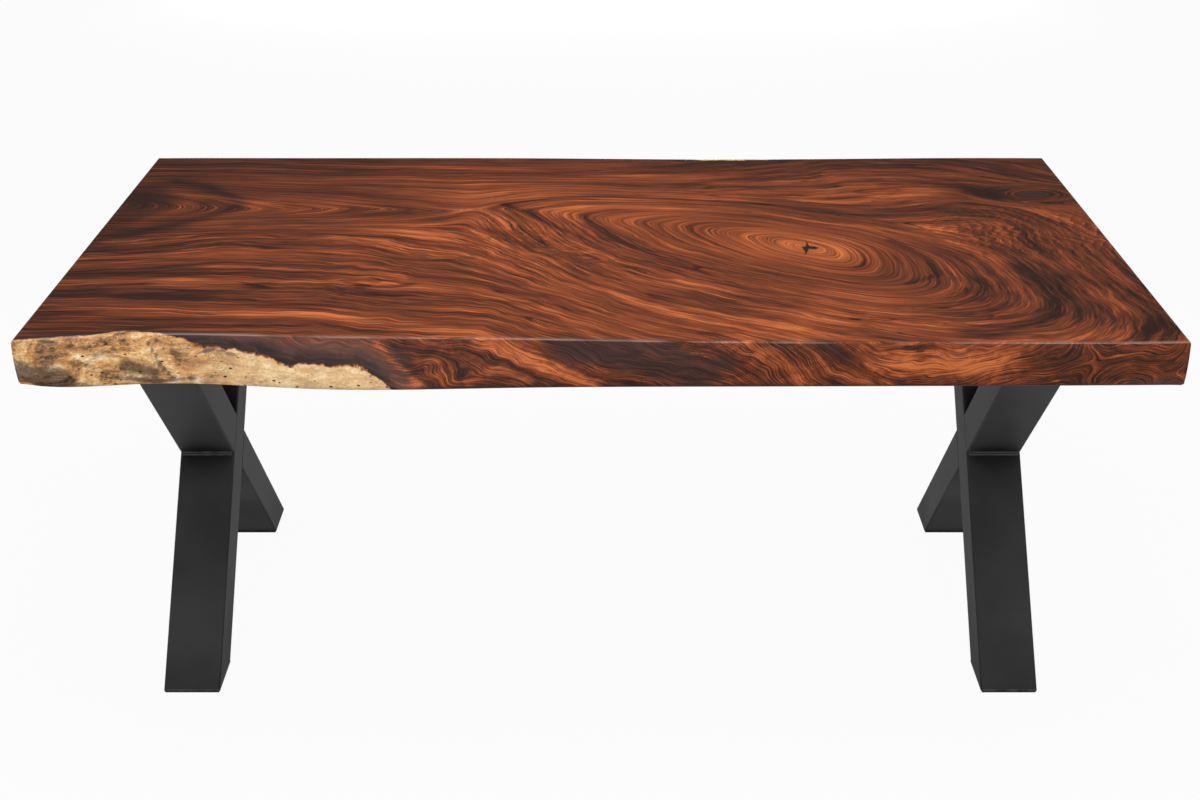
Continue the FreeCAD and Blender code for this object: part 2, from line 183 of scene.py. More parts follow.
def clouds(tree, vector, scale, detail, roughness=0.5, distortion=0.0):
    """Soft random clouds, from 0 to 1."""
    node = tree.nodes.new("ShaderNodeTexNoise")
    feed(tree, node.inputs["Vector"], vector)
    node.inputs["Scale"].default_value = scale
    node.inputs["Detail"].default_value = detail
    node.inputs["Roughness"].default_value = roughness
    node.inputs["Distortion"].default_value = distortion
    return node.outputs[0]


def uneven(tree, vector, *settings):
    """Clouds centred on zero, so that they lighten as much as they darken."""
    return maths(tree, "SUBTRACT", clouds(tree, vector, *settings), 0.5)


def dots(tree, vector, scale):
    """How far each place is from the nearest of many scattered points."""
    node = tree.nodes.new("ShaderNodeTexVoronoi")
    feed(tree, node.inputs["Vector"], vector)
    node.inputs["Scale"].default_value = scale
    return node.outputs["Distance"]


def carried(tree, name, output="Fac"):
    """A value that the mesh carries under a name."""
    node = tree.nodes.new("ShaderNodeAttribute")
    node.attribute_name = name
    return node.outputs[output]


def own_place(tree):
    """The piece's own coordinate, in metres."""
    return tree.nodes.new("ShaderNodeTexCoord").outputs["Object"]


def bumped(tree, height, distance, strength):
    """A surface normal tilted by a height."""
    node = tree.nodes.new("ShaderNodeBump")
    feed(tree, node.inputs["Height"], height)
    node.inputs["Distance"].default_value = distance
    node.inputs["Strength"].default_value = strength
    return node.outputs["Normal"]


def new_finish(name):
    """A material with its node tree and its surface shader."""
    finish = bpy.data.materials.new(name)
    finish.use_nodes = True
    return finish, finish.node_tree, finish.node_tree.nodes["Principled BSDF"]


# %% [markdown]
# ## Measuring the slab
#
# The CAD slab has the right outline, but its few large faces leave no room for a natural surface.
# The dressed slab is a finer mesh over the same form. Its live edges could be drawn again from their
# measures, but then two outlines would have to be kept alike. So they are found by sending lines of
# sight at the CAD slab from the front and from the back, at many places along it and at many levels.

# %% Levels and stations on the slab
slab_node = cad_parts["slab_top"]
slab_low, slab_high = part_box("slab_top")
STATION_STEP = 6 * MM
ROW_STEP = 6.5 * MM
EDGE_STEP = 3.4 * MM
ARRIS = 3 * MM
# Millimetres from a corner at which points lie on an arris, down an edge and in from an end
ARRIS_LEVELS = (0.02, 0.25, 0.7, 1.3, 2.1, 3.0)
END_LEVELS = (0.0, 0.25, 0.7, 1.3, 2.1)
JUST_INSIDE, SKIN = 0.1 * MM, 0.02 * MM

slab_length = slab_high.x - slab_low.x
slab_thickness = slab_high.z - slab_low.z
station_count = round(slab_length / STATION_STEP)
inner_stations = np.linspace(slab_low.x + ARRIS, slab_high.x - ARRIS, station_count)
end_steps = np.array(END_LEVELS) * MM
stations = np.concatenate([slab_low.x + end_steps, inner_stations, slab_high.x - end_steps[::-1]])
from_end = np.minimum(stations - slab_low.x, slab_high.x - stations)
short = np.maximum(ARRIS - from_end, 0)
station_top = slab_high.z - ARRIS + np.sqrt(ARRIS ** 2 - short ** 2)
station_bottom = slab_low.z + short

edge_count = round((slab_thickness - 2 * ARRIS) / EDGE_STEP)
arris_shares = np.array(ARRIS_LEVELS) * MM / slab_thickness
middle_shares = np.linspace(arris_shares[-1], 1 - arris_shares[-1], edge_count)[1:-1]
edge_shares = np.concatenate([arris_shares, middle_shares, 1 - arris_shares[::-1]])
print("stations:", len(stations), "levels on an edge:", len(edge_shares))

# %% Lines of sight at the live edges
LOOK_FROM = 0.7
SMOOTHING_STATIONS = 3
slab_tree = BVHTree.FromPolygons([v.co for v in slab_node.data.vertices],
                                 [p.vertices for p in slab_node.data.polygons])


def edge_profile(side):
    """The place of a live edge, front (-1) or back (1), at every station and level."""
    found = np.zeros((len(stations), len(edge_shares)))
    for row, place in enumerate(stations):
        x = min(max(place, slab_low.x + JUST_INSIDE), slab_high.x - JUST_INSIDE)
        for column, share in enumerate(edge_shares):
            z = station_top[row] - share * (station_top[row] - station_bottom[row])
            z = min(max(z, slab_low.z + SKIN), slab_high.z - SKIN)
            hit = slab_tree.ray_cast(Vector((x, side * LOOK_FROM, z)), Vector((0, -side, 0)))[0]
            found[row, column] = hit.y if hit else found[row - 1, column]
    return found


def smoothed(profile):
    """A profile averaged along the slab, which hides the CAD mesh's flat facets."""
    padded = np.pad(profile, ((SMOOTHING_STATIONS, SMOOTHING_STATIONS), (0, 0)), mode="edge")
    window = 2 * SMOOTHING_STATIONS + 1
    return sum(padded[step:step + len(profile)] for step in range(window)) / window


front_edge = smoothed(edge_profile(-1))
back_edge = smoothed(edge_profile(1))
print("front edge from", round(front_edge.min(), 4), "back edge to", round(back_edge.max(), 4))

# %% [markdown]
# ## The lie of the grain
#
# The figure on the slab's face comes from a tree trunk that was not straight. Its pith dips below
# the face and comes back to it: the rings show as a round eye where the pith meets the face, as
# long flames where it runs under the face, and as near-straight lines far from it. So the figure is
# worked out once, for the whole solid: at each place, how far it is from the pith. The same field
# then serves the face, the edges, the ends and the underside, and the lines run over the corners
# as they do in real wood. A ready-made wood texture would be quicker, but its rings know no pith.

# %% Lines drawn through given stations
def flowing_line(marks, at):
    """A smooth line through marks (place, value), held level beyond the first and the last."""
    places, values = np.array(marks, float).T
    slopes = np.gradient(values, places)
    at = np.clip(at, places[0], places[-1])
    left = np.clip(np.searchsorted(places, at, side="right") - 1, 0, len(places) - 2)
    step = places[left + 1] - places[left]
    t = (at - places[left]) / step
    start = values[left] * (1 + 2 * t) * (1 - t) ** 2 + slopes[left] * step * t * (1 - t) ** 2
    finish = values[left + 1] * t * t * (3 - 2 * t) + slopes[left + 1] * step * t * t * (t - 1)
    return start + finish


def soft_step(low, high, value):
    """0 at low, 1 at high and a smooth rise between. Low may be the larger of the two."""
    t = np.clip((value - low) / (high - low), 0, 1)
    return t * t * (3 - 2 * t)


WAVES, SHORTEST, LONGEST, USUAL_PEAK = 7, 0.7, 1.5, 1.5


def wander(x, y, wavelength, seed):
    """Slow random drift, mostly from -1 to 1, as a sum of a few waves in random directions."""
    chance = np.random.default_rng(seed)
    total = np.zeros_like(x)
    for _ in range(WAVES):
        heading, start = chance.uniform(0, 2 * np.pi, 2)
        length = wavelength * chance.uniform(SHORTEST, LONGEST)
        total += np.sin(2 * np.pi * (x * np.cos(heading) + y * np.sin(heading)) / length + start)
    return total / WAVES ** 0.5 / USUAL_PEAK


def drifting(x, y, drifts):
    """A sum of drifts, each with its reach, wavelength and seed, and its stretch along and across."""
    total = np.zeros_like(x)
    for reach, wavelength, seed, along, across in drifts:
        total += reach * wander(along * x, across * y, wavelength, seed)
    return total


print("half way up a smooth step:", soft_step(0, 1, 0.5))

# %% The pith and the rings around it
# Along the slab in millimetres from its middle: where the pith lies across the slab, and how deep
PITH_ACROSS = ((-915, 214), (-690, 192), (-471, 182), (-302, 165), (-184, 182), (60, 85), (370, -57),
               (587, -184), (789, -321), (915, -400))
PITH_DEPTH = ((-965, 0), (-784, 110), (-684, 165), (-471, 232), (-302, 285), (-230, 300), (-184, 268),
              (35, 150), (200, 75), (335, 17), (370, 0), (405, 21), (470, 66), (585, 150), (772, 265),
              (915, 340))
# How pointed the flames are: 2 gives round rings, and nearer to 1 gives arrow tips
FLAME_POINT = ((-915, 1.9), (-700, 1.5), (-480, 1.2), (-184, 1.2), (0, 1.6), (250, 2.0), (915, 2.0))
# How closely the rings lie to the back of the pith, and to the front of it
SPREAD_BACK = ((-915, 1.15), (200, 1.15), (370, 1.0), (480, 0.85), (915, 0.8))
SPREAD_FRONT = 0.83
# Toward the back the lines bend less and less with the pith
STRAIGHT_FROM, STRAIGHT_AT, PITH_PULL_LEFT = 50, 480, 0.12
# Far from the pith its own depth stops mattering, and the lines settle to the slab's lie
FAR_DEPTH_BACK = ((-915, 270), (100, 270), (370, 200), (585, 215), (772, 265), (915, 340))
FAR_DEPTH_FRONT = ((-915, 345), (-602, 372), (-377, 360), (-240, 325), (-115, 250), (35, 150), (200, 75),
                   (335, 17), (370, 0), (405, 21), (470, 66), (585, 150), (772, 265), (915, 340))
FAR_FROM, FAR_AT = 70, 290
FAR_FROM_FRONT, FAR_AT_FRONT = 25, 190
CROWDING_BACK = 0.4
# To the right of the eye the rings turn square to the slab's length
TURN_FROM, TURN_AT, TURN_BACK, TURN_FRONT = 380, 760, 420, 40
TURN_SHARE, TURN_NEAR, TURN_FAR = 0.5, 60, 420


def ring_distance(x, y, depth):
    """How far a place is from the pith, in millimetres of growth."""
    pull = 1 - (1 - PITH_PULL_LEFT) * soft_step(STRAIGHT_FROM, STRAIGHT_AT, y)
    aside = y - flowing_line(PITH_ACROSS, x) * pull
    turned = soft_step(TURN_FROM, TURN_AT, x) * soft_step(TURN_BACK, TURN_FRONT, y)
    aside = aside * (1 - TURN_SHARE * turned * soft_step(TURN_NEAR, TURN_FAR, aside))
    behind = aside > 0
    far_depth = np.where(behind, flowing_line(FAR_DEPTH_BACK, x), flowing_line(FAR_DEPTH_FRONT, x))
    far_back = soft_step(FAR_FROM, FAR_AT, aside)
    far = np.where(behind, far_back, soft_step(FAR_FROM_FRONT, FAR_AT_FRONT, -aside))
    under = flowing_line(PITH_DEPTH, x) * (1 - far) + far_depth * far - depth
    spread = np.where(behind, flowing_line(SPREAD_BACK, x), SPREAD_FRONT)
    point = flowing_line(FLAME_POINT, x) * (1 - far) + 2 * far
    crowded = CROWDING_BACK * np.maximum(aside - FAR_FROM, 0) * (1 - turned)
    return ((spread * np.abs(aside)) ** point + np.abs(under) ** point) ** (1 / point) + crowded


# %% The wandering of the grain
DRIFT_ALONG = ((12, 380, 3, 1.0, 1.0), (5, 140, 4, 1.0, 1.0))
DRIFT_ACROSS = ((8, 420, 5, 1.0, 1.0), (3, 120, 6, 1.0, 1.0))
SHORT_WAVES = ((6, 150, 7, 0.9, 1.0), (3.5, 62, 8, 1.0, 0.7))
# Where the short waves fade in: from the back, from the right and from the left end
SHORT_FROM_BACK, SHORT_FROM_RIGHT, SHORT_FROM_LEFT = (120, -120), (350, -100), (-900, -350)


def grain_drift(x, y):
    """Places with the grain's wandering: slow all over, with shorter waves in the front left part."""
    wavy = soft_step(*SHORT_FROM_BACK, y) * soft_step(*SHORT_FROM_RIGHT, x) * soft_step(*SHORT_FROM_LEFT, x)
    across = drifting(x, y, DRIFT_ACROSS) + wavy * drifting(x, y, SHORT_WAVES)
    return x + drifting(x, y, DRIFT_ALONG), y + across


sample_x, sample_y = np.array([0.0, 400.0]), np.array([0.0, -100.0])
print("growth at two places:", np.round(ring_distance(*grain_drift(sample_x, sample_y), 0)), "mm")

# %% [markdown]
# ## The slab's mesh
#
# The mesh is a grid like a sleeve: at each station along the slab one loop of points goes across
# the face, down the back edge, across the underside and up the front edge, and the two ends are
# closed by grids of their own. The natural edges get shallow hollows and swellings, which is what
# hand sanding leaves under the bark. The arrises and the planed faces stay true. A subdivided copy of
# the CAD slab would hold the same form, but its points would not lie in rows along the grain.

# %% Hollows and swellings of the live edges
EDGE_RELIEF, SAPWOOD_RELIEF = 1.3 * MM, 2.6 * MM
# Shares of the edge's height, and millimetres from an end, over which the relief fades in
RELIEF_AT_TOP, RELIEF_AT_BOTTOM, RELIEF_AT_END = (0.03, 0.3), (1.0, 0.85), (0, 20)
# Where the sapwood's lumps fade in along the front edge, and their share at the back
LUMPS_FRONT, LUMPS_BACK = (-300, -420), 0.35
# Each wave: its length in millimetres, how it is squeezed downward, its seed and its share of the lumps
SLOW_LENGTH, SLOW_SQUEEZE, SLOW_SEED, SLOW_SHARE = 170, 2.2, 11, 0.6
QUICK_LENGTH, QUICK_SQUEEZE, QUICK_SEED, QUICK_SHARE = 46, 1.6, 21, 0.5


def edge_relief(side):
    """How far an edge's surface leaves the CAD edge, at every station and level."""
    x, share = np.meshgrid(stations / MM, edge_shares, indexing="ij")
    down = share * slab_thickness / MM
    held = soft_step(*RELIEF_AT_TOP, share) * soft_step(*RELIEF_AT_BOTTOM, share)
    held = held * soft_step(*RELIEF_AT_END, from_end / MM)[:, None]
    lumpy = soft_step(*LUMPS_FRONT, x) if side < 0 else LUMPS_BACK
    slow = wander(x, SLOW_SQUEEZE * down, SLOW_LENGTH, SLOW_SEED + side)
    quick = wander(x, QUICK_SQUEEZE * down, QUICK_LENGTH, QUICK_SEED + side)
    lumps = SAPWOOD_RELIEF * lumpy * (SLOW_SHARE * slow + QUICK_SHARE * quick)
    return held * (EDGE_RELIEF * slow + lumps)


front_surface = front_edge - edge_relief(-1)
back_surface = back_edge + edge_relief(1)
deepest = np.abs(front_surface - front_edge).max() / MM
print("relief of the front edge up to", round(float(deepest), 1), "mm")

# %% Loops across the slab and grids on its ends
row_count = round((slab_high.y - slab_low.y) / ROW_STEP)
row_shares = np.linspace(0, 1, row_count + 1)
level_count = len(edge_shares)


def face_rows(level, heights):
    """Points across the slab from front to back at one level of the edges."""
    front, back = front_surface[:, level, None], back_surface[:, level, None]
    y = front + (back - front) * row_shares
    x = np.broadcast_to(stations[:, None], y.shape)
    z = np.broadcast_to(heights[:, None], y.shape)
    return np.stack([x, y, z], axis=-1)


def edge_rows(surface):
    """Points down an edge at every station."""
    heights = station_top[:, None] - edge_shares * (station_top - station_bottom)[:, None]
    x = np.broadcast_to(stations[:, None], heights.shape)
    return np.stack([x, surface, heights], axis=-1)


face = face_rows(0, station_top)
underside = face_rows(level_count - 1, station_bottom)
front, back = edge_rows(front_surface), edge_rows(back_surface)
loops = np.concatenate([face, back[:, 1:-1], underside[:, ::-1], front[:, 1:-1][:, ::-1]], axis=1)
points = loops.reshape(-1, 3)
print("points in the sleeve:", len(points))

# %% Faces of the sleeve and the ends
sleeve = np.arange(len(points)).reshape(loops.shape[:2])
around = np.roll(sleeve, -1, axis=1)
quads = np.stack([sleeve[:-1], sleeve[1:], around[1:], around[:-1]], axis=-1).reshape(-1, 4)


def end_grid(station):
    """Point numbers of an end's grid, level by row, and the new points inside it."""
    ring = sleeve[station]
    top, low = ring[:row_count + 1], ring[row_count + level_count - 1:2 * row_count + level_count][::-1]
    back_side = ring[row_count:row_count + level_count]
    front_side = np.concatenate([[low[0]], ring[2 * row_count + level_count:], [top[0]]])[::-1]
    grid = np.zeros((level_count, row_count + 1), int)
    grid[0], grid[-1], grid[:, 0], grid[:, -1] = top, low, front_side, back_side
    share = row_shares[1:-1]
    y = points[front_side, 1][1:-1, None] * (1 - share) + points[back_side, 1][1:-1, None] * share
    z = np.broadcast_to(points[front_side, 2][1:-1, None], y.shape)
    x = np.full(y.shape, stations[station])
    return grid, np.stack([x, y, z], axis=-1).reshape(-1, 3)


all_points, all_quads = [points], [quads]
for station, outward in ((0, -1), (len(stations) - 1, 1)):
    grid, inside = end_grid(station)
    first = sum(len(block) for block in all_points)
    grid[1:-1, 1:-1] = np.arange(first, first + len(inside)).reshape(level_count - 2, row_count - 1)
    corners = [grid[:-1, :-1], grid[1:, :-1], grid[1:, 1:], grid[:-1, 1:]]
    all_points.append(inside)
    all_quads.append(np.stack(corners[::outward], axis=-1).reshape(-1, 4))
points, quads = np.concatenate(all_points), np.concatenate(all_quads)
print("slab points:", len(points), "quads:", len(quads))

# %% [markdown]
# ## The crack at the pith
#
# Slabs with the pith in them crack there as they dry, and the maker fills the crack with dark resin
# before the last sanding. The CAD model has the fill as a piece of its own, so the dressed slab gets
# a real pocket with the same outline. A Boolean modifier could cut it, but would leave slivers in so
# fine a grid. Instead the faces around the crack come out, and triangles that stop at the outline
# close the gap again.

# %% Outline of the fill, read from its own node
fill_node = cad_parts["pith_crack_fill"]
fill_low, fill_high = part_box("pith_crack_fill")


def outline_at(mesh, height):
    """The outline of a prism's flat face at a height, as points in order."""
    level = {}
    for vertex in mesh.vertices:
        if abs(vertex.co.z - height) < JUST_INSIDE:
            level[vertex.index] = (round(vertex.co.x, 6), round(vertex.co.y, 6))
    sides = set()
    for polygon in mesh.polygons:
        if all(index in level for index in polygon.vertices):
            ring = [level[index] for index in polygon.vertices]
            sides.update(zip(ring, ring[1:] + ring[:1]))
    following = {start: end for start, end in sides if (end, start) not in sides}
    line = [min(following)]
    while following[line[-1]] != line[0]:
        line.append(following[line[-1]])
    return line


crack_outline = outline_at(fill_node.data, fill_high.z)
print("crack corners:", len(crack_outline))

# %% Make the slab and let the pocket in
CRACK_MARGIN = 9 * MM
PATCH_CUTS = 2


def cut_pocket(shape):
    """Let the crack's pocket into the slab's face."""
    around_x = [x for x, _ in crack_outline]
    around_y = [y for _, y in crack_outline]
    near = []
    for polygon in shape.faces:
        middle = polygon.calc_center_median()
        if (min(around_x) - CRACK_MARGIN < middle.x < max(around_x) + CRACK_MARGIN
                and min(around_y) - CRACK_MARGIN < middle.y < max(around_y) + CRACK_MARGIN
                and middle.z > fill_high.z - JUST_INSIDE):
            near.append(polygon)
    bmesh.ops.delete(shape, geom=near, context="FACES")
    border = [edge for edge in shape.edges if edge.is_boundary]
    rims = []
    for height in (fill_high.z, fill_low.z):
        corners = [shape.verts.new((x, y, height)) for x, y in crack_outline]
        rims.append([shape.edges.new((a, b)) for a, b in zip(corners, corners[1:] + corners[:1])])
    patch = bmesh.ops.triangle_fill(shape, edges=border + rims[0], use_beauty=True)["geom"]
    seams = [item for item in patch if isinstance(item, bmesh.types.BMEdge) and item not in rims[0]]
    bmesh.ops.subdivide_edges(shape, edges=seams, cuts=PATCH_CUTS, use_grid_fill=True)
    bmesh.ops.bridge_loops(shape, edges=rims[0] + rims[1])
    bmesh.ops.triangle_fill(shape, edges=rims[1], use_beauty=True)
    bmesh.ops.recalc_face_normals(shape, faces=shape.faces)


slab_mesh = bpy.data.meshes.new("live_edge_slab")
slab_mesh.from_pydata(points.tolist(), [], quads.tolist())
shape = bmesh.new()
shape.from_mesh(slab_mesh)
cut_pocket(shape)
shape.to_mesh(slab_mesh)
print("open edges:", sum(not edge.is_manifold for edge in shape.edges))
shape.free()
slab_mesh.shade_smooth()
live_edge_slab = bpy.data.objects.new("live_edge_slab", slab_mesh)
scene.collection.objects.link(live_edge_slab)
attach(live_edge_slab, "root")
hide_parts("slab_top")
print("slab:", len(slab_mesh.vertices), "points,", len(slab_mesh.polygons), "faces")

# %% [markdown]
# ## Sapwood, and broad strokes of light and dark
#
# Under the bark lies the sapwood: cream and gold, with dark stains where fungi have begun to grow.
# A charcoal line parts it from the red heartwood. It lies along the lower front edge at the left,
# and here and there along the back. The field for it is a distance: above zero inside the sapwood.
# Broad strokes set where the heartwood is darker or lighter, because no random pattern would put
# them there. They are set as paths, as a painter would, and every point of the mesh carries
# their sum, so the finish can use them without a picture.

# %% Distance into the sapwood
# Along the slab in millimetres: how deep below the face the sapwood begins on the edge's surface
FRONT_SAPWOOD = ((-915, 0), (-850, -2), (-790, -6), (-748, -15), (-712, -8), (-690, -1), (-660, 6),
                 (-622, 16), (-568, 24), (-526, 28), (-484, 43), (-466, 38), (-400, 40), (-368, 43),
                 (-346, 58), (-320, 80), (-300, 100), (915, 120))
BACK_SAPWOOD = ((-915, 62), (-500, 45), (-100, 54), (80, 24), (150, 4), (190, -4), (330, -5), (375, 3),
                (440, 26), (600, 50), (915, 66))
SAPWOOD_SLOPE = 1.2

co = np.zeros(len(slab_mesh.vertices) * 3)
slab_mesh.vertices.foreach_get("co", co)
co = co.reshape(-1, 3)
x_mm, y_mm = co[:, 0] / MM, co[:, 1] / MM
depth_mm = (slab_high.z - co[:, 2]) / MM


def surface_at(surface):
    """Where an edge's surface lies, beside each point of the slab, in millimetres."""
    row = np.interp(co[:, 0], stations, np.arange(len(stations)))
    column = np.interp(depth_mm * MM / slab_thickness, edge_shares, np.arange(level_count))
    row_low = np.minimum(row.astype(int), len(stations) - 2)
    column_low = np.minimum(column.astype(int), level_count - 2)
    r, c = row - row_low, column - column_low
    near = surface[row_low, column_low] * (1 - c) + surface[row_low, column_low + 1] * c
    far = surface[row_low + 1, column_low] * (1 - c) + surface[row_low + 1, column_low + 1] * c
    return (near * (1 - r) + far * r) / MM


behind_front = y_mm - surface_at(front_surface)
before_back = surface_at(back_surface) - y_mm
front_sap = depth_mm - flowing_line(FRONT_SAPWOOD, x_mm) - SAPWOOD_SLOPE * behind_front
back_sap = depth_mm - flowing_line(BACK_SAPWOOD, x_mm) - SAPWOOD_SLOPE * before_back
sapwood = np.maximum(front_sap, back_sap)
print("sapwood share of the points:", round(float((sapwood > 0).mean()), 3))

# %% Broad strokes on the face
# Each stroke: how much lighter (+) or darker (-), how wide in millimetres, and its path
FACE_STROKES = [
    (-0.75, 17, [(-840, 326), (-777, 295), (-727, 245), (-684, 189), (-709, 139), (-777, 70), (-852, 14),
                 (-915, -17)]),
    (-0.85, 48, [(-915, 235), (-875, 200)]),
    (0.50, 20, [(-835, 275), (-785, 215), (-795, 150), (-850, 85)]),
    (0.45, 40, [(-670, 190), (-590, 195), (-500, 185)]),
    (0.40, 38, [(-740, 80), (-560, 95), (-360, 60), (-290, 0)]),
    (-0.30, 30, [(-470, 150), (-380, 120), (-300, 120)]),
    (0.35, 45, [(-270, 130), (-180, 80), (-120, 10)]),
    (-0.50, 16, [(-184, 182), (-40, 60), (60, -60), (200, -220), (300, -330)]),
    (-1.10, 5, [(-184, 184), (-150, 145), (-95, 70), (-60, 25)]),
    (-1.10, 5, [(-184, 184), (-90, 222), (20, 230), (200, 205), (320, 180)]),
    (1.15, 85, [(330, -40), (400, -70)]),
    (0.30, 70, [(120, 120), (250, 20)]),
    (-0.85, 8, [(520, -20), (575, -110), (578, -190), (520, -235)]),
    (-1.00, 34, [(735, -170), (752, -250), (745, -340), (690, -400), (600, -445)]),
    (0.55, 26, [(800, -240), (835, -340), (790, -415)]),
    (-1.10, 50, [(720, 255), (850, 240), (915, 250)]),
    (-0.60, 14, [(150, 300), (330, 285), (460, 305)]),
    (-0.60, 22, [(-915, -280), (-700, -295), (-450, -330)]),
    (-0.35, 24, [(-915, -400), (-600, -410), (-350, -440)]),
    (-0.45, 14, [(-915, -190), (-680, -185), (-470, -215)]),
    (-0.45, 12, [(-880, -60), (-650, -40), (-480, -90)]),
    (0.15, 26, [(-915, -110), (-760, -75), (-600, -40)]),
    (0.40, 18, [(-915, -230), (-640, -225), (-400, -250)]),
    (0.35, 22, [(-860, -345), (-500, -360), (-250, -440)]),
    (0.40, 50, [(180, -250), (300, -400)]),
    (0.30, 60, [(380, -290), (560, -350)]),
    (-0.35, 60, [(-915, 480), (-500, 470), (0, 478), (500, 474), (915, 480)]),
    (-0.68, 75, [(-915, 90), (-870, 280)]),
    (-0.28, 60, [(-885, 60), (-840, 80)]),
    (-0.16, 80, [(-760, 240), (-540, 240)]),
    (-0.30, 80, [(-915, -340), (-600, -350)]),
    (-0.75, 34, [(915, -280), (890, -400), (850, -480)]),
    (0.35, 14, [(585, 60), (650, -60), (690, -170), (690, -260)]),
    (-0.36, 110, [(-880, 402), (-530, 402)]),
    (-0.38, 75, [(-890, 410), (-850, 400)]),
    (-0.25, 90, [(150, 420), (600, 410)]),
    (0.08, 55, [(-700, 345), (-300, 345), (450, 350)]),
    (-0.65, 65, [(839, 420), (900, 380)]),
    (0.55, 80, [(-240, 235), (240, 232)]),
    (0.32, 80, [(-330, 240), (-120, 238)]),
    (0.45, 70, [(400, 240), (570, 225)]),
    (-0.30, 90, [(-760, 100), (-500, 90)]),
    (0.30, 80, [(-230, 80), (100, 80)]),
    (0.40, 70, [(520, 80), (600, 70)]),
    (-0.65, 90, [(-915, -85), (-800, -90)]),
    (-0.20, 85, [(-700, -80), (-620, -80)]),
    (0.14, 80, [(-400, -80), (-200, -80)]),
    (0.33, 80, [(40, -80), (200, -80)]),
    (-0.33, 60, [(670, -80), (720, -90)]),
    (-0.13, 110, [(-860, -241), (-480, -241)]),
    (0.25, 60, [(40, -241), (110, -241)]),
    (-0.50, 75, [(660, -241), (700, -220)]),
    (-0.20, 90, [(760, -60), (915, -70)]),
    (0.15, 80, [(-240, -241), (-190, -241)]),
    (-0.80, 60, [(850, -230), (870, -260)]),
    (0.38, 90, [(-150, -430), (300, -430)]),
    (0.55, 80, [(330, -420), (430, -420)]),
    (0.25, 60, [(640, -440), (720, -440)]),
    (-0.85, 62, [(839, -402), (880, -420)]),
]
# Millimetres behind the front edge over which its own strokes take over, and depth that a stroke reaches
FRONT_SKIN, STROKE_DEPTH = (2.5, 0.5), (40, 4)


def stroke_total(strokes, across, up):
    """The sum of all strokes at each place."""
    total = np.zeros_like(across)
    for amount, width, path in strokes:
        nearest = np.full_like(across, np.inf)
        for (x0, y0), (x1, y1) in zip(path, path[1:]):
            run, rise = x1 - x0, y1 - y0
            t = np.clip(((across - x0) * run + (up - y0) * rise) / (run ** 2 + rise ** 2), 0, 1)
            nearest = np.minimum(nearest, np.hypot(across - x0 - t * run, up - y0 - t * rise))
        total += amount * np.exp(-(nearest / width) ** 2)
    return total


on_front = soft_step(*FRONT_SKIN, behind_front)
face_tone = stroke_total(FACE_STROKES, x_mm, y_mm) * soft_step(*STROKE_DEPTH, depth_mm)
print("face strokes from", round(float(face_tone.min()), 2), "to", round(float(face_tone.max()), 2))

# %% Broad strokes and the lie of the grain on the front edge
# The front edge is nearly parallel to the rings, so its lines are long, and this line gives their slope
EDGE_LIE = ((-915, 0), (-640, 10), (-540, 18), (-440, 36), (-340, 58), (-250, 78), (-180, 98), (-60, 146),
            (0, 166), (100, 188), (170, 200), (230, 228), (300, 288), (400, 364), (440, 384), (520, 392),
            (600, 374), (680, 352), (760, 356), (850, 392), (915, 420))
EDGE_CLOSENESS = 1.9
EDGE_STROKES = [
    (-1.00, 17, [(-60, 14), (0, 24), (90, 44), (170, 62)]),
    (-0.80, 16, [(-20, 6), (100, 16), (200, 36)]),
    (1.25, 11, [(-190, 4), (-120, 26), (-70, 48), (-10, 76)]),
    (0.90, 10, [(-208, 62), (-165, 44), (-121, 60)]),
    (0.70, 8, [(-290, 66), (-262, 50), (-235, 62)]),
    (1.50, 5, [(-352, 6), (-335, 24), (-310, 44), (-285, 66)]),
    (0.60, 9, [(-285, 36), (-245, 26), (-215, 30)]),
    (0.75, 2.5, [(129, 10), (168, 26)]),
    (0.75, 2.5, [(133, 56), (165, 58), (189, 72)]),
    (0.95, 8, [(225, 0), (262, 16), (296, 40), (315, 74)]),
    (-0.90, 8, [(345, 0), (385, 30), (430, 58)]),
    (-0.60, 6, [(315, 8), (345, 40), (372, 74)]),
    (0.80, 26, [(420, 48), (520, 36), (600, 38)]),
    (0.90, 8, [(570, 46), (606, 36), (645, 22)]),
    (-1.60, 1.6, [(474, 6), (500, 15)]),
    (-0.22, 40, [(700, 30), (880, 40)]),
    (1.60, 2.0, [(702, 64), (716, 66)]),
    (-0.35, 10, [(-640, 4), (-540, 14), (-430, 28), (-340, 50)]),
    (0.40, 6, [(-600, 4), (-500, 8), (-400, 10)]),
    (0.55, 30, [(330, 50), (460, 40), (640, 30)]),
    (-0.45, 14, [(-330, 20), (-280, 50)]),
    (-0.35, 16, [(-310, 20), (-220, 20)]),
    # Painted shadow: a thin dark line along the bottom of the front edge, under its lower arris
    (-0.90, 4, [(-290, 75), (0, 75), (915, 75)]),
]

# The lines of the edge wave, more so around one burl, and curl up into a swirl near the right end
EDGE_WAVES = ((9, 150, 31, 1.0, 2.4), (2.5, 48, 32, 1.0, 2.4))
BURL_MIDDLE, BURL_REACH, BURL_GAIN = -255, (70, 20), 1.2
SWIRL_MIDDLE, SWIRL_REACH, SWIRL_FLATTEN = (835, 74), 125, 1.5
SWIRL_CORE = SWIRL_REACH / 3
burl = 1 + BURL_GAIN * soft_step(*BURL_REACH, np.abs(x_mm - BURL_MIDDLE))
edge_wave = burl * drifting(x_mm, depth_mm, EDGE_WAVES)
edge_growth = depth_mm - flowing_line(EDGE_LIE, x_mm)
swirl = np.hypot((x_mm - SWIRL_MIDDLE[0]) / SWIRL_FLATTEN, depth_mm - SWIRL_MIDDLE[1])
in_swirl = soft_step(SWIRL_REACH, SWIRL_CORE, np.abs(x_mm - SWIRL_MIDDLE[0]))
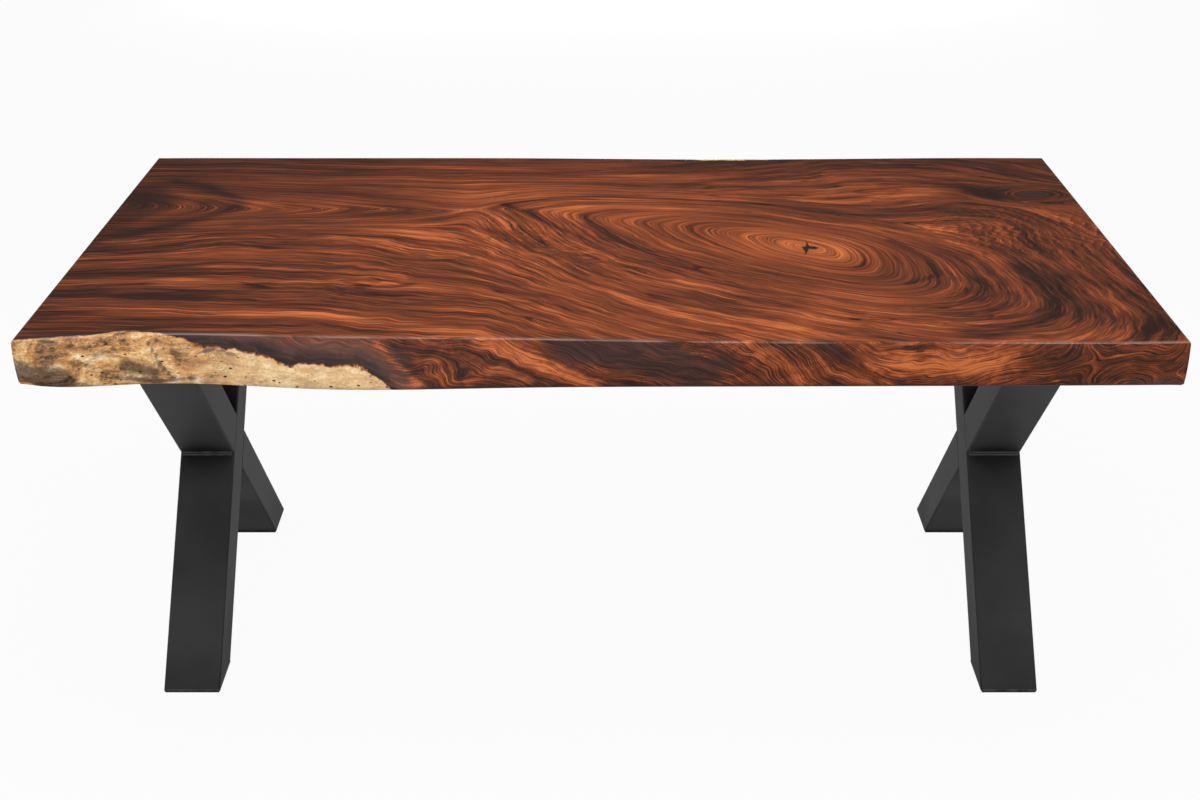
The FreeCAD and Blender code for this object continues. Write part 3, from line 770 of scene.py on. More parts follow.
swirl = swirl - flowing_line(EDGE_LIE, np.full_like(x_mm, SWIRL_MIDDLE[0] - SWIRL_REACH))
edge_growth = edge_growth * (1 - in_swirl) + swirl * in_swirl
edge_growth = EDGE_CLOSENESS * (edge_growth + edge_wave)
edge_tone = stroke_total(EDGE_STROKES, x_mm, depth_mm)
tone = face_tone * (1 - on_front) + edge_tone * on_front
print("edge strokes from", round(float(edge_tone.min()), 2), "to", round(float(edge_tone.max()), 2))

# %% Stains in the sapwood, feathered and smooth stretches
STAIN_STROKES = [
    (1.50, 21, [(-905, 52), (-845, 62)]),
    (0.9, 8, [(-880, 70), (-800, 73)]),
    (1.2, 3, [(-712, 8), (-700, 24), (-690, 44), (-672, 66)]),
    (1.1, 4, [(-760, 62), (-700, 72), (-640, 66)]),
    (0.9, 3, [(-700, 6), (-678, 26), (-640, 30), (-612, 24)]),
    (0.8, 3, [(-845, 20), (-800, 44), (-770, 60)]),
    (1.0, 5, [(-874, 3), (-846, 7)]),
    (1.2, 13, [(-745, 44), (-700, 56)]),
    (0.9, 6, [(-672, 10), (-662, 44)]),
    (0.8, 8, [(-615, 18), (-575, 30)]),
    (0.7, 10, [(-800, 34), (-770, 24)]),
    (0.6, 7, [(-560, 62), (-520, 66)]),
    (0.5, 5, [(-640, 66), (-600, 60)]),
]
FEATHER_STROKES = [
    (1.0, 50, [(-130, 0), (-60, -80), (-10, -120)]),
    (0.8, 45, [(-450, -270), (-340, -190)]),
]
SMOOTH_STROKES = [
    (0.9, 55, [(-440, 105), (-330, 150), (-240, 190), (-215, 110)]),
    (0.8, 55, [(740, -190), (752, -290), (700, -390)]),
]
SMOOTH_EDGE_STROKES = [
    (1.0, 45, [(400, 45), (500, 38), (640, 30)]),
    (0.7, 32, [(-50, 40), (120, 40)]),
    (0.8, 45, [(720, 38), (890, 40)]),
]
stain = stroke_total(STAIN_STROKES, x_mm, depth_mm) * on_front
feather = stroke_total(FEATHER_STROKES, x_mm, y_mm)
smooth = stroke_total(SMOOTH_STROKES, x_mm, y_mm) * (1 - on_front)
smooth = smooth + stroke_total(SMOOTH_EDGE_STROKES, x_mm, depth_mm) * on_front
print("deepest stain:", round(float(stain.max()), 2))

# %% The knot, the eye and the long grain
# The rings close around a knot near the right end
KNOT_MIDDLE, KNOT_REACH, KNOT_FADE = (841, 245), (62, 34), (2.6, 1.2)
KNOT_RING, KNOT_RIM = 46, 1.9
CURL_MIDDLE, CURL_REACH, CURL_FADE = (810, 35), (240, 170), (1.1, 0.4)
# Growth at which the eye begins and is full, and how much calmer the figure is in it
EYE_OUTER, EYE_INNER, EYE_CALM = 230, 110, 0.65
# Along the grain the streaks are drawn out to the left of a bend
LONG_SHARE, LONG_BEND, LONG_SOFTNESS, LONG_FADE = 0.275, 50, 150, (150, -250)
# Depth of the painted highlight line along the front arris, and where the front sapwood turns paler
ARRIS_HIGHLIGHT_DEPTH, PALE_FADE = 0.8, (-690, -520)


def oval(middle, reach):
    """How far each point lies from a place on the face, as a share of a reach along and across."""
    return np.hypot((x_mm - middle[0]) / reach[0], (y_mm - middle[1]) / reach[1])


growth = ring_distance(*grain_drift(x_mm, y_mm), depth_mm)
knot = oval(KNOT_MIDDLE, KNOT_REACH)
around_knot = soft_step(*KNOT_FADE, knot)
growth_at_knot = ring_distance(*[np.array([float(place)]) for place in KNOT_MIDDLE], 0)
growth = growth * (1 - around_knot) + (growth_at_knot + KNOT_RING * (knot - KNOT_RIM)) * around_knot
eye = soft_step(EYE_OUTER, EYE_INNER, growth) * (1 - around_knot)
calm = 1 - EYE_CALM * eye
along_mm = (1 - LONG_SHARE) * x_mm + LONG_SHARE * np.hypot(x_mm - LONG_BEND, LONG_SOFTNESS)
print("growth from", round(float(growth.min())), "to", round(float(growth.max())), "mm")

# %% Values that the slab's points carry
VECTORS = {
    "figure": (growth, along_mm * calm, y_mm * calm),
    "edge_figure": (edge_growth, x_mm, depth_mm),
}
MASKS = {
    "on_front": on_front,
    # where a highlight line is painted along the front arris
    "arris": on_front * np.exp(-((depth_mm - ARRIS_HIGHLIGHT_DEPTH) / ARRIS_HIGHLIGHT_DEPTH) ** 2),
    "tone": tone,
    "sapwood": sapwood * MM,
    "pale": soft_step(*PALE_FADE, x_mm) * on_front,
    "stain": stain,
    "knot": knot,
    "smooth": smooth,
    "eye": eye,
    "long_grain": soft_step(*LONG_FADE, x_mm) * (1 - on_front),
    "curl": soft_step(*CURL_FADE, oval(CURL_MIDDLE, CURL_REACH)),
    "feather": feather,
}
for name, axes in VECTORS.items():
    field = slab_mesh.attributes.new(name, "FLOAT_VECTOR", "POINT")
    field.data.foreach_set("vector", np.ravel(np.stack(axes, axis=1) * MM))
for name, values in MASKS.items():
    field = slab_mesh.attributes.new(name, "FLOAT", "POINT")
    field.data.foreach_set("value", values)
print("values carried:", list(VECTORS) + list(MASKS))

# %% [markdown]
# ## The lacquered wood
#
# The colour is built up in layers, from wide bands of growth to single fibres. Every layer is a
# cloud pattern that is squeezed across the rings and drawn out along the grain. Thin dark lines sit
# where a layer crosses its mean, so they follow the rings and fade in and out. Sapwood and its
# charcoal line cover the heartwood where the field says so. A satin lacquer lies over all. A picture
# of wood could be wrapped around the slab instead, but it would blur close up and stretch at the edges.

# %% Helpers for the figure
VECTOR_A, VECTOR_B, VECTOR_OUT = 4, 5, 1


def switched(tree, share, first, second):
    """One vector or another, by a share."""
    node = tree.nodes.new("ShaderNodeMix")
    node.data_type = "VECTOR"
    feed(tree, node.inputs["Factor"], share)
    feed(tree, node.inputs[VECTOR_A], first)
    feed(tree, node.inputs[VECTOR_B], second)
    return node.outputs[VECTOR_OUT]


def axes_of(tree, vector):
    """The three axes of a vector."""
    node = tree.nodes.new("ShaderNodeSeparateXYZ")
    tree.links.new(vector, node.inputs["Vector"])
    return node.outputs


def layer(tree, figure, squeeze, along, detail, roughness=0.55):
    """One layer of the figure, centred on zero: squeezed across the rings and drawn out along the grain."""
    return uneven(tree, stretched(tree, figure, (squeeze, along, along)), 1.0, detail, roughness)


def line_mask(tree, pattern, width):
    """Lines where a pattern crosses zero, from their soft rim to their full tone."""
    return fade(tree, maths(tree, "ABSOLUTE", pattern), *width)


# %% The figure with a small shake
# How far the growth is shaken, in metres: slowly, quickly and in the curl, and how much more on the edge
SLOW_SHAKE, QUICK_SHAKE, CURLY_SHAKE, EDGE_SHAKE = 0.012, 0.0035, 0.011, 1.2
SHAKE_STRETCH, CURLY_STRETCH = (0.55, 1.0, 1.0), (0.6, 1.5, 1.0)
SLOW_CLOUDS, QUICK_CLOUDS, CURLY_CLOUDS = (11, 2.0), (52, 2.0), (42, 2.0)


def jittered(tree, figure, place, edge_share):
    """The figure with its growth shaken a little, and that growth by itself."""
    drawn = stretched(tree, place, SHAKE_STRETCH)
    quick = times(tree, uneven(tree, drawn, *QUICK_CLOUDS), QUICK_SHAKE)
    shake = add_share(tree, uneven(tree, drawn, *SLOW_CLOUDS), SLOW_SHAKE, quick)
    shake = swayed(tree, shake, EDGE_SHAKE, edge_share)
    curly = uneven(tree, stretched(tree, place, CURLY_STRETCH), *CURLY_CLOUDS)
    shake = add_share(tree, times(tree, curly, carried(tree, "curl")), CURLY_SHAKE, shake)
    axes = axes_of(tree, figure)
    growth = maths(tree, "ADD", axes["X"], shake)
    joined = tree.nodes.new("ShaderNodeCombineXYZ")
    for axis, value in (("X", growth), ("Y", axes["Y"]), ("Z", axes["Z"])):
        tree.links.new(value, joined.inputs[axis])
    return joined.outputs["Vector"], growth


slab_finish, tree, shader = new_finish("lacquered_live_edge_wood")
place = own_place(tree)
EDGE_FROM, EDGE_AT = 0.8, 0.97
edge_share = fade(tree, carried(tree, "on_front"), EDGE_FROM, EDGE_AT)
face_figure, edge_figure = (carried(tree, name, "Vector") for name in ("figure", "edge_figure"))
figure = switched(tree, edge_share, face_figure, edge_figure)
figure, growth_here = jittered(tree, figure, place, edge_share)
print("nodes for the figure:", len(tree.nodes))

# %% Thin dark growth lines
# A layer: how closely it lies across the rings and along the grain, its detail and its roughness
BANDS, RINGS = (15, 2.6, 2.0), (60, 3.6, 4.0, 0.62)
BREAKS, LONG_LINES = (30, 6.0, 2.0), (42, 2.6, 1.0)
BREAK_FROM, BREAK_AT = -0.05, 0.12
# Each kind of line: how wide it is, and how dark
THIN_WIDTH, THIN_SHARE = (0.022, 0.004), 0.6
BOLD_WIDTH, BOLD_SHARE = (0.016, 0.003), 0.6
LONG_WIDTH, LONG_LINE_SHARE = (0.024, 0.005), 0.42
RINGS_PER_METRE, RING_WANDER, RING_SHARPNESS = 88, 5.0, 4.0
RING_SHARE, RING_SHARE_IN_EYE = 0.18, 0.16


def growth_lines(tree, figure, growth, bands, rings):
    """A mask of thin dark lines: closed rings in the eye and broken lines elsewhere."""
    broken = fade(tree, layer(tree, figure, *BREAKS), BREAK_FROM, BREAK_AT)
    thin = times(tree, line_mask(tree, rings, THIN_WIDTH), broken)
    bold = times(tree, line_mask(tree, bands, BOLD_WIDTH), broken)
    drawn = line_mask(tree, layer(tree, figure, *LONG_LINES), LONG_WIDTH)
    count = add_share(tree, growth, RINGS_PER_METRE, times(tree, bands, RING_WANDER))
    season = maths(tree, "POWER", maths(tree, "FRACT", count), RING_SHARPNESS)
    inside = add_share(tree, carried(tree, "eye"), RING_SHARE_IN_EYE, RING_SHARE)
    lines = add_share(tree, season, inside, times(tree, thin, THIN_SHARE))
    lines = add_share(tree, drawn, LONG_LINE_SHARE, lines)
    return add_share(tree, bold, BOLD_SHARE, lines, clamp=True)


bands, rings = layer(tree, figure, *BANDS), layer(tree, figure, *RINGS)
dark_lines = growth_lines(tree, figure, growth_here, bands, rings)
print("nodes with the growth lines:", len(tree.nodes))

# %% Crescents of the curl
RIPPLES_PER_METRE, RIPPLE_POWER, RIPPLE_MEAN = 52, 1.3, 0.43
CURL_ROWS_PER_METRE, CURL_ROW_START, CURL_BOW = 7, 0.87, 1.2
BEND_STRETCH, BEND_CLOUDS = (7, 12, 7), (1.0, 3.0, 0.6)
BEND_OF_ROWS, BEND_OF_RIPPLES = 0.6, 4.4
PATCH_STRETCH, PATCH_CLOUDS, PATCH_FADE = (10, 22, 10), (1.0, 2.0), (0.36, 0.60)


def curl_ripples(tree, place):
    """Crescents across the grain, as light makes them in curly wood: a slow rise and a sharp end."""
    bend = clouds(tree, stretched(tree, place, BEND_STRETCH), *BEND_CLOUDS)
    axes = axes_of(tree, place)
    row = add_share(tree, axes["Y"], CURL_ROWS_PER_METRE, CURL_ROW_START)
    row = maths(tree, "FRACT", add_share(tree, bend, BEND_OF_ROWS, row))
    off_middle = maths(tree, "ABSOLUTE", add_share(tree, row, 2.0, -1.0))
    bow = maths(tree, "POWER", off_middle, 2.0)
    phase = add_share(tree, bow, -CURL_BOW, times(tree, bend, BEND_OF_RIPPLES))
    phase = add_share(tree, axes["X"], RIPPLES_PER_METRE, phase)
    rise = maths(tree, "POWER", maths(tree, "FRACT", phase), RIPPLE_POWER)
    patchy = fade(tree, clouds(tree, stretched(tree, place, PATCH_STRETCH), *PATCH_CLOUDS), *PATCH_FADE)
    return times(tree, maths(tree, "SUBTRACT", rise, RIPPLE_MEAN), patchy)


ripples = curl_ripples(tree, place)
print("nodes with the curl:", len(tree.nodes))

# %% How light the heartwood is
FIBRES, HAIRS = (230, 9.0, 3.0, 0.65), (800, 24.0, 1.0)
# The share of each layer, and how much of it the long straight grain at the left adds or takes
BAND_SHARE, BAND_IN_LONG = 1.05, -0.45
RING_LAYER_SHARE, RING_IN_LONG = 1.25, 0.20
FIBRE_SHARE, HAIR_SHARE, FINE_IN_LONG, FINE_ON_EDGE = 1.05, 0.9, 0.25, 0.6
# How much calmer the coarse layers are in the eye, in the curl and on smooth stretches
CALMER = (("eye", -0.62), ("curl", -0.2), ("smooth", -0.6))
HEART_MEAN, STROKE_SHARE, EDGE_DARKENING = 0.46, 0.36, -0.05
MOTTLE_STRETCH, MOTTLE_CLOUDS, MOTTLE_SHARE = (1.0, 1.0, 1.8), (24, 4.0, 0.62, 1.6), 0.9
BARB_STRETCH, BARB_CLOUDS, BARB_SHARE = (34, 80, 9), (1.0, 3.0, 0.6, 0.8), 1.1
RIPPLE_SHARE = 0.42

fibres, hairs = layer(tree, figure, *FIBRES), layer(tree, figure, *HAIRS)
long_grain = carried(tree, "long_grain")
narrow = times(tree, rings, add_share(tree, long_grain, RING_IN_LONG, RING_LAYER_SHARE))
coarse = add_share(tree, bands, add_share(tree, long_grain, BAND_IN_LONG, BAND_SHARE), narrow)
for name, share in CALMER:
    coarse = swayed(tree, coarse, share, carried(tree, name))
fine = add_share(tree, fibres, FIBRE_SHARE, times(tree, hairs, HAIR_SHARE))
fine = swayed(tree, swayed(tree, fine, FINE_IN_LONG, long_grain), FINE_ON_EDGE, edge_share)
mottle = uneven(tree, stretched(tree, place, MOTTLE_STRETCH), *MOTTLE_CLOUDS)
barbs = uneven(tree, stretched(tree, place, BARB_STRETCH), *BARB_CLOUDS)

heart_value = maths(tree, "ADD", maths(tree, "ADD", coarse, fine), HEART_MEAN)
for pattern, share in ((carried(tree, "tone"), STROKE_SHARE),
                       (edge_share, EDGE_DARKENING),
                       (times(tree, mottle, edge_share), MOTTLE_SHARE),
                       (times(tree, ripples, carried(tree, "curl")), RIPPLE_SHARE),
                       (times(tree, barbs, carried(tree, "feather")), BARB_SHARE)):
    heart_value = add_share(tree, pattern, share, heart_value)
print("nodes with the heartwood's layers:", len(tree.nodes))

# %% Colours of the heartwood
HEARTWOOD_SCALE = [
    (0.00, paint(40, 21, 15)), (0.16, paint(60, 31, 21)), (0.32, paint(84, 42, 26)),
    (0.48, paint(106, 52, 30)), (0.62, paint(127, 62, 34)), (0.78, paint(153, 77, 41)),
    (1.00, paint(196, 108, 59)),
]
GROWTH_LINE_COLOUR = paint(44, 23, 16)
PURPLE_BROWN = paint(66, 44, 40)
KNOT_COLOUR = paint(50, 38, 35)
# Dark strokes on the edge go dull and streaky
DULL_FADE, DULL_STREAKS, DULL_MEAN = (0.0, -0.8), 2.4, 0.5
KNOT_CORE, KNOT_SHARE = (0.75, 0.3), 0.9

heart = colour_scale(tree, heart_value, HEARTWOOD_SCALE)
heart = mingle(tree, dark_lines, heart, GROWTH_LINE_COLOUR)
dull = times(tree, fade(tree, carried(tree, "tone"), *DULL_FADE), edge_share)
streaky = add_share(tree, fibres, DULL_STREAKS, DULL_MEAN)
heart = mingle(tree, times(tree, dull, streaky, clamp=True), heart, PURPLE_BROWN)
dark_knot = times(tree, fade(tree, carried(tree, "knot"), *KNOT_CORE), KNOT_SHARE)
heart = mingle(tree, dark_knot, heart, KNOT_COLOUR)
print("nodes with the heartwood's colours:", len(tree.nodes))

# %% Sapwood
SAPWOOD_SCALE = [
    (0.00, paint(64, 48, 42)), (0.16, paint(100, 74, 54)), (0.34, paint(148, 107, 70)),
    (0.50, paint(178, 132, 84)), (0.68, paint(200, 156, 103)), (0.86, paint(216, 182, 134)),
    (1.00, paint(228, 205, 168)),
]
PALE_SAPWOOD, WARM_SAPWOOD = paint(216, 190, 152), paint(196, 136, 84)
STAIN_TINT, STAIN_COLOUR, SPECK_COLOUR = paint(144, 148, 170), paint(74, 60, 52), paint(40, 32, 30)
# How the sapwood's patterns are drawn out, then the clouds of each: scale, detail, roughness, distortion
SAP_STRETCH, WISP_STRETCH, SPECK_STRETCH = (1.0, 1.0, 1.7), (0.8, 1.0, 2.6), (0.7, 1.0, 1.5)
SAP_BROAD, SAP_WISPS, SAP_FINE = (14, 3.0, 0.6, 1.2), (42, 5.0, 0.64, 1.6), (150, 4.0, 0.65, 1.5)
SAP_WARM, SAP_STAIN, SAP_VEINS, SAP_SPECKS = (34, 3.0, 0.6, 1.5), (38, 5.0, 0.68, 1.8), (24, 2.0), (30, 1.0)
SAP_LINES = (130, 9.0, 3.0, 0.65)
WISP_SHARE, SAP_FINE_SHARE, SAP_LINE_SHARE = 0.95, 1.25, 0.7
BROAD_SHARE, BROAD_IN_PALE, SAP_MEAN, SAP_MEAN_IN_PALE = 2.2, -1.1, 0.56, 0.20
PALE_SHARE, WARM_FADE, WARM_SHARE = 0.35, (0.50, 0.68), 0.45
STAIN_CLOUDING, STAIN_FADE = 1.7, (0.35, 1.15)
VEIN_WIDTH, VEIN_FADE, VEIN_SHARE = (0.016, 0.003), (0.46, 0.6), 0.75
SPECKS_PER_METRE, SPECK_SIZE, SPECK_FADE = 80, (0.22, 0.12), (0.44, 0.54)


def sapwood_colour(tree, place, figure):
    """The sapwood's colour: cream, with stains, specks and thin dark lines."""
    drawn = stretched(tree, place, SAP_STRETCH)
    wisps = uneven(tree, stretched(tree, place, WISP_STRETCH), *SAP_WISPS)
    pale = carried(tree, "pale")
    spread = add_share(tree, pale, BROAD_IN_PALE, BROAD_SHARE)
    mean = add_share(tree, pale, SAP_MEAN_IN_PALE, SAP_MEAN)
    value = add_share(tree, uneven(tree, drawn, *SAP_BROAD), spread, mean)
    for pattern, share in ((wisps, WISP_SHARE), (uneven(tree, drawn, *SAP_FINE), SAP_FINE_SHARE),
                           (layer(tree, figure, *SAP_LINES), SAP_LINE_SHARE)):
        value = add_share(tree, pattern, share, value)
    colour = colour_scale(tree, value, SAPWOOD_SCALE)
    colour = mingle(tree, times(tree, pale, PALE_SHARE), colour, PALE_SAPWOOD)
    warm = fade(tree, clouds(tree, drawn, *SAP_WARM), *WARM_FADE)
    colour = mingle(tree, times(tree, warm, WARM_SHARE), colour, WARM_SAPWOOD)
    clouded = add_share(tree, uneven(tree, drawn, *SAP_STAIN), STAIN_CLOUDING, carried(tree, "stain"))
    colour = mingle(tree, fade(tree, clouded, *STAIN_FADE), colour, STAIN_TINT, "MULTIPLY")
    veins = times(tree, line_mask(tree, wisps, VEIN_WIDTH), VEIN_SHARE)
    veins = times(tree, veins, fade(tree, clouds(tree, drawn, *SAP_VEINS), *VEIN_FADE))
    colour = mingle(tree, veins, colour, STAIN_COLOUR)
    speck = fade(tree, dots(tree, stretched(tree, place, SPECK_STRETCH), SPECKS_PER_METRE), *SPECK_SIZE)
    scattered = fade(tree, clouds(tree, place, *SAP_SPECKS), *SPECK_FADE)
    return mingle(tree, times(tree, speck, scattered), colour, SPECK_COLOUR)


sap_colour = sapwood_colour(tree, place, figure)
print("nodes with the sapwood:", len(tree.nodes))

# %% The charcoal line between heartwood and sapwood
CHARCOAL, SMOKY_BROWN, FRINGE_COLOUR = paint(42, 34, 35), paint(92, 66, 60), paint(150, 92, 52)
# Distances into the sapwood, in metres: where each tone begins and where it is full
SMOKY_FADE, CHARCOAL_FADE = (-0.070, -0.020), (-0.027, -0.006)
FRINGE_FADE, BARE_FADE = (-0.0016, 0.0002), (0.0004, 0.0022)
RAGGED_CLOUDS, RAGGED_REACH = (48, 4.0, 0.65), 0.024
STREAKS, STREAK_SHARE, STREAK_MEAN = (120, 10.0, 3.0, 0.65), 1.8, 0.85
SMOKY_SHARE = 0.65

sap = add_share(tree, uneven(tree, place, *RAGGED_CLOUDS), RAGGED_REACH, carried(tree, "sapwood"))
streaks = add_share(tree, layer(tree, figure, *STREAKS), STREAK_SHARE, STREAK_MEAN, clamp=True)
smoky = times(tree, fade(tree, sap, *SMOKY_FADE), times(tree, edge_share, SMOKY_SHARE))
heart = mingle(tree, smoky, heart, SMOKY_BROWN)
heart = mingle(tree, times(tree, fade(tree, sap, *CHARCOAL_FADE), streaks), heart, CHARCOAL)
wood = mingle(tree, fade(tree, sap, *FRINGE_FADE), heart, FRINGE_COLOUR)
wood = mingle(tree, fade(tree, sap, *BARE_FADE), wood, sap_colour)
print("nodes with the charcoal line:", len(tree.nodes))

# %% Lacquer, and a painted highlight along the front arris
ARRIS_HIGHLIGHT_COLOUR, ARRIS_HIGHLIGHT_SHARE = paint(200, 172, 160), 0.34
GLINT_CLOUDS, GLINT_FADE = (9, 2.0), (0.3, 0.55)
GLOSS_CLOUDS, GLOSS_SPREAD, GLOSS_LEAST = (14, 2.0), 0.16, 0.42
GRAIN_DEPTH, GRAIN_STRENGTH = 0.3 * MM, 0.5
LACQUER_SHINE = 0.1

# Painted highlight: a thin pale line in broken patches along the front arris
glint = times(tree, carried(tree, "arris"), fade(tree, clouds(tree, place, *GLINT_CLOUDS), *GLINT_FADE))
wood = mingle(tree, times(tree, glint, ARRIS_HIGHLIGHT_SHARE), wood, ARRIS_HIGHLIGHT_COLOUR)
tree.links.new(wood, shader.inputs["Base Color"])
gloss = add_share(tree, clouds(tree, place, *GLOSS_CLOUDS), GLOSS_SPREAD, GLOSS_LEAST)
tree.links.new(gloss, shader.inputs["Roughness"])
shader.inputs["Specular IOR Level"].default_value = LACQUER_SHINE
tree.links.new(bumped(tree, heart_value, GRAIN_DEPTH, GRAIN_STRENGTH), shader.inputs["Normal"])
slab_mesh.materials.append(slab_finish)
print("nodes of the whole wood finish:", len(tree.nodes))

# %% [markdown]
# ## Finishes of the other pieces
#
# The legs are powder coated: paint baked on as a powder, with a very fine pebbled skin and edges
# where it lies a little thinner. The edges are painted lighter, partly as wear and partly as a painted
# highlight, and the inner corners and the ends near the floor darker, as painted shade. Each finish
# could have its own nodes for this, but three effects serve them all, so they are node groups with
# values of their own in each finish: one finds the edges of a piece, one makes a fine speckle and one
# finds the inner corners.

# %% Shared effects
def new_effect(name, inputs, outputs):
    """A node group with its sockets, and its inner ends."""
    group = bpy.data.node_groups.new(name, "ShaderNodeTree")
    for title, kind in inputs:
        group.interface.new_socket(title, in_out="INPUT", socket_type=kind)
    for title, kind in outputs:
        group.interface.new_socket(title, in_out="OUTPUT", socket_type=kind)
    return group, group.nodes.new("NodeGroupInput"), group.nodes.new("NodeGroupOutput")


NUMBER = "NodeSocketFloat"
EDGE_SAMPLES, CORNER_SAMPLES = 6, 8
# How alike the rounded and the plain normal are where an edge begins and where it is full
EDGE_LIKENESS, EDGE_PATCHES, EDGE_PATCH_FADE = (0.995, 0.93), (40, 3.0), (0.3, 0.6)


def worn_and_highlit_edges():
    """A mask of the edges, broken up as wear is, where wear and a painted highlight lighten the colour."""
    group, given, result = new_effect("worn_and_highlit_edges", [("Reach", NUMBER)], [("Mask", NUMBER)])
    bevel = group.nodes.new("ShaderNodeBevel")
    bevel.samples = EDGE_SAMPLES
    group.links.new(given.outputs["Reach"], bevel.inputs["Radius"])
    plain = group.nodes.new("ShaderNodeNewGeometry")
    likeness = group.nodes.new("ShaderNodeVectorMath")
    likeness.operation = "DOT_PRODUCT"
    group.links.new(bevel.outputs["Normal"], likeness.inputs[0])
    group.links.new(plain.outputs["Normal"], likeness.inputs[1])
    edge = fade(group, likeness.outputs["Value"], *EDGE_LIKENESS)
    patchy = fade(group, clouds(group, own_place(group), *EDGE_PATCHES), *EDGE_PATCH_FADE)
    group.links.new(times(group, edge, patchy), result.inputs["Mask"])
    return group


UNEVEN_CLOUDS = (6, 3.0)


def fine_speckle():
    """A fine pebbled height, and a slow unevenness."""
    group, given, result = new_effect("fine_speckle", [("Scale", NUMBER)],
                                      [("Height", NUMBER), ("Uneven", NUMBER)])
    grain = group.nodes.new("ShaderNodeTexNoise")
    group.links.new(own_place(group), grain.inputs["Vector"])
    group.links.new(given.outputs["Scale"], grain.inputs["Scale"])
    group.links.new(grain.outputs[0], result.inputs["Height"])
    group.links.new(clouds(group, own_place(group), *UNEVEN_CLOUDS), result.inputs["Uneven"])
    return group


# How open a place is where its painted shade begins and where it is full
OPENNESS_FADE = (0.98, 0.60)


def painted_corner_shade():
    """A mask of painted shade in the inner corners and near the floor, where less light gets in."""
    group, given, result = new_effect("painted_corner_shade", [("Reach", NUMBER)], [("Mask", NUMBER)])
    shelter = group.nodes.new("ShaderNodeAmbientOcclusion")
    shelter.samples = CORNER_SAMPLES
    group.links.new(given.outputs["Reach"], shelter.inputs["Distance"])
    group.links.new(fade(group, shelter.outputs["AO"], *OPENNESS_FADE), result.inputs["Mask"])
    return group


def use(tree, effect, **values):
    """An effect placed in a finish, with its values set."""
    node = tree.nodes.new("ShaderNodeGroup")
    node.node_tree = effect
    for title, value in values.items():
        node.inputs[title].default_value = value
    return node.outputs


EDGE_EFFECT, SPECKLE_EFFECT, CORNER_SHADE_EFFECT = worn_and_highlit_edges(), fine_speckle(), painted_corner_shade()
print("effects:", [effect.name for effect in (EDGE_EFFECT, SPECKLE_EFFECT, CORNER_SHADE_EFFECT)])

# %% Powder coat, rubber, zinc and resin
# Reach, strength and near-black colour of the painted shade in inner corners and near the floor
CORNER_SHADE_REACH, CORNER_SHADE_SHARE, CORNER_SHADE_COLOUR = 0.18, 0.92, paint(11, 11, 12)
UNEVEN_FADE, UNEVEN_ROUGHNESS, WEAR_AND_HIGHLIGHT_SHARE = (0.35, 0.65), 0.14, 0.7
PEBBLE_HEIGHT, PEBBLE_STRENGTH = 0.1 * MM, 0.35


def coated_finish(name, dark, light, wear_and_highlight, roughness, speckle, reach, shine=0.5, metal=0.0, shade_strength=1.0):
    """A finish with an uneven colour, a pebbled skin, edges lighter as wear and painted highlight, and
    painted shade in inner corners.
    """
    finish, tree, shader = new_finish(name)
    skin = use(tree, SPECKLE_EFFECT, Scale=speckle)
    edge = use(tree, EDGE_EFFECT, Reach=reach)["Mask"]
    colour = mingle(tree, fade(tree, skin["Uneven"], *UNEVEN_FADE), dark, light)
    # Painted shade: darker toward a near-black where other surfaces lie close, in inner corners and near
    # the floor
    deep = use(tree, CORNER_SHADE_EFFECT, Reach=CORNER_SHADE_REACH)["Mask"]
    colour = mingle(tree, times(tree, deep, CORNER_SHADE_SHARE * shade_strength), colour, CORNER_SHADE_COLOUR)
    # Edges painted lighter, partly as wear and partly as a painted highlight
    colour = mingle(tree, times(tree, edge, WEAR_AND_HIGHLIGHT_SHARE), colour, wear_and_highlight)
    tree.links.new(colour, shader.inputs["Base Color"])
    rough = add_share(tree, skin["Uneven"], UNEVEN_ROUGHNESS, roughness - UNEVEN_ROUGHNESS / 2)
    tree.links.new(rough, shader.inputs["Roughness"])
    pebbles = bumped(tree, skin["Height"], PEBBLE_HEIGHT, PEBBLE_STRENGTH)
    tree.links.new(pebbles, shader.inputs["Normal"])
    shader.inputs["Metallic"].default_value = metal
    shader.inputs["Specular IOR Level"].default_value = shine
    return finish


FINISHES = {
    "black_powder_coat": coated_finish("black_powder_coat", paint(53, 53, 54), paint(61, 61, 62),
                                       paint(90, 90, 91), roughness=0.52, speckle=1500,
                                       reach=2.5 * MM, shine=0.05),
    "foot_rubber": coated_finish("foot_rubber", paint(22, 22, 22), paint(30, 30, 30),
                                 paint(46, 46, 46), roughness=0.75, speckle=900,
                                 reach=1.0 * MM, shine=0.2),
    "zinc_steel": coated_finish("zinc_steel", paint(160, 162, 165), paint(184, 186, 188),
                                paint(214, 214, 214), roughness=0.34, speckle=700,
                                reach=0.6 * MM, metal=1.0, shade_strength=0.3),
    "dark_resin": coated_finish("dark_resin", paint(25, 17, 14), paint(40, 26, 21),
                                paint(74, 48, 37), roughness=0.38, speckle=260,
                                reach=0.6 * MM, shine=0.12, shade_strength=0.0),
}
for name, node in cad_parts.items():
    slot = node.material_slots[0]
    if slot.material.name in FINISHES:
        slot.material = FINISHES[slot.material.name]
    print(name, slot.material.name)

# %% [markdown]
# ## Studio
#
# The table stands on a pale floor under one large soft lamp overhead. A second one in front fills the
# front edge and the legs, two small low ones light the legs' sides, and a low one behind stands below
# the tabletop, so that it lights the legs and not the top. A brighter world alone would be simpler,
# but it leaves the legs flat. The floor shows itself nearly white to the camera, and it keeps a trace
# of the table's shadow.

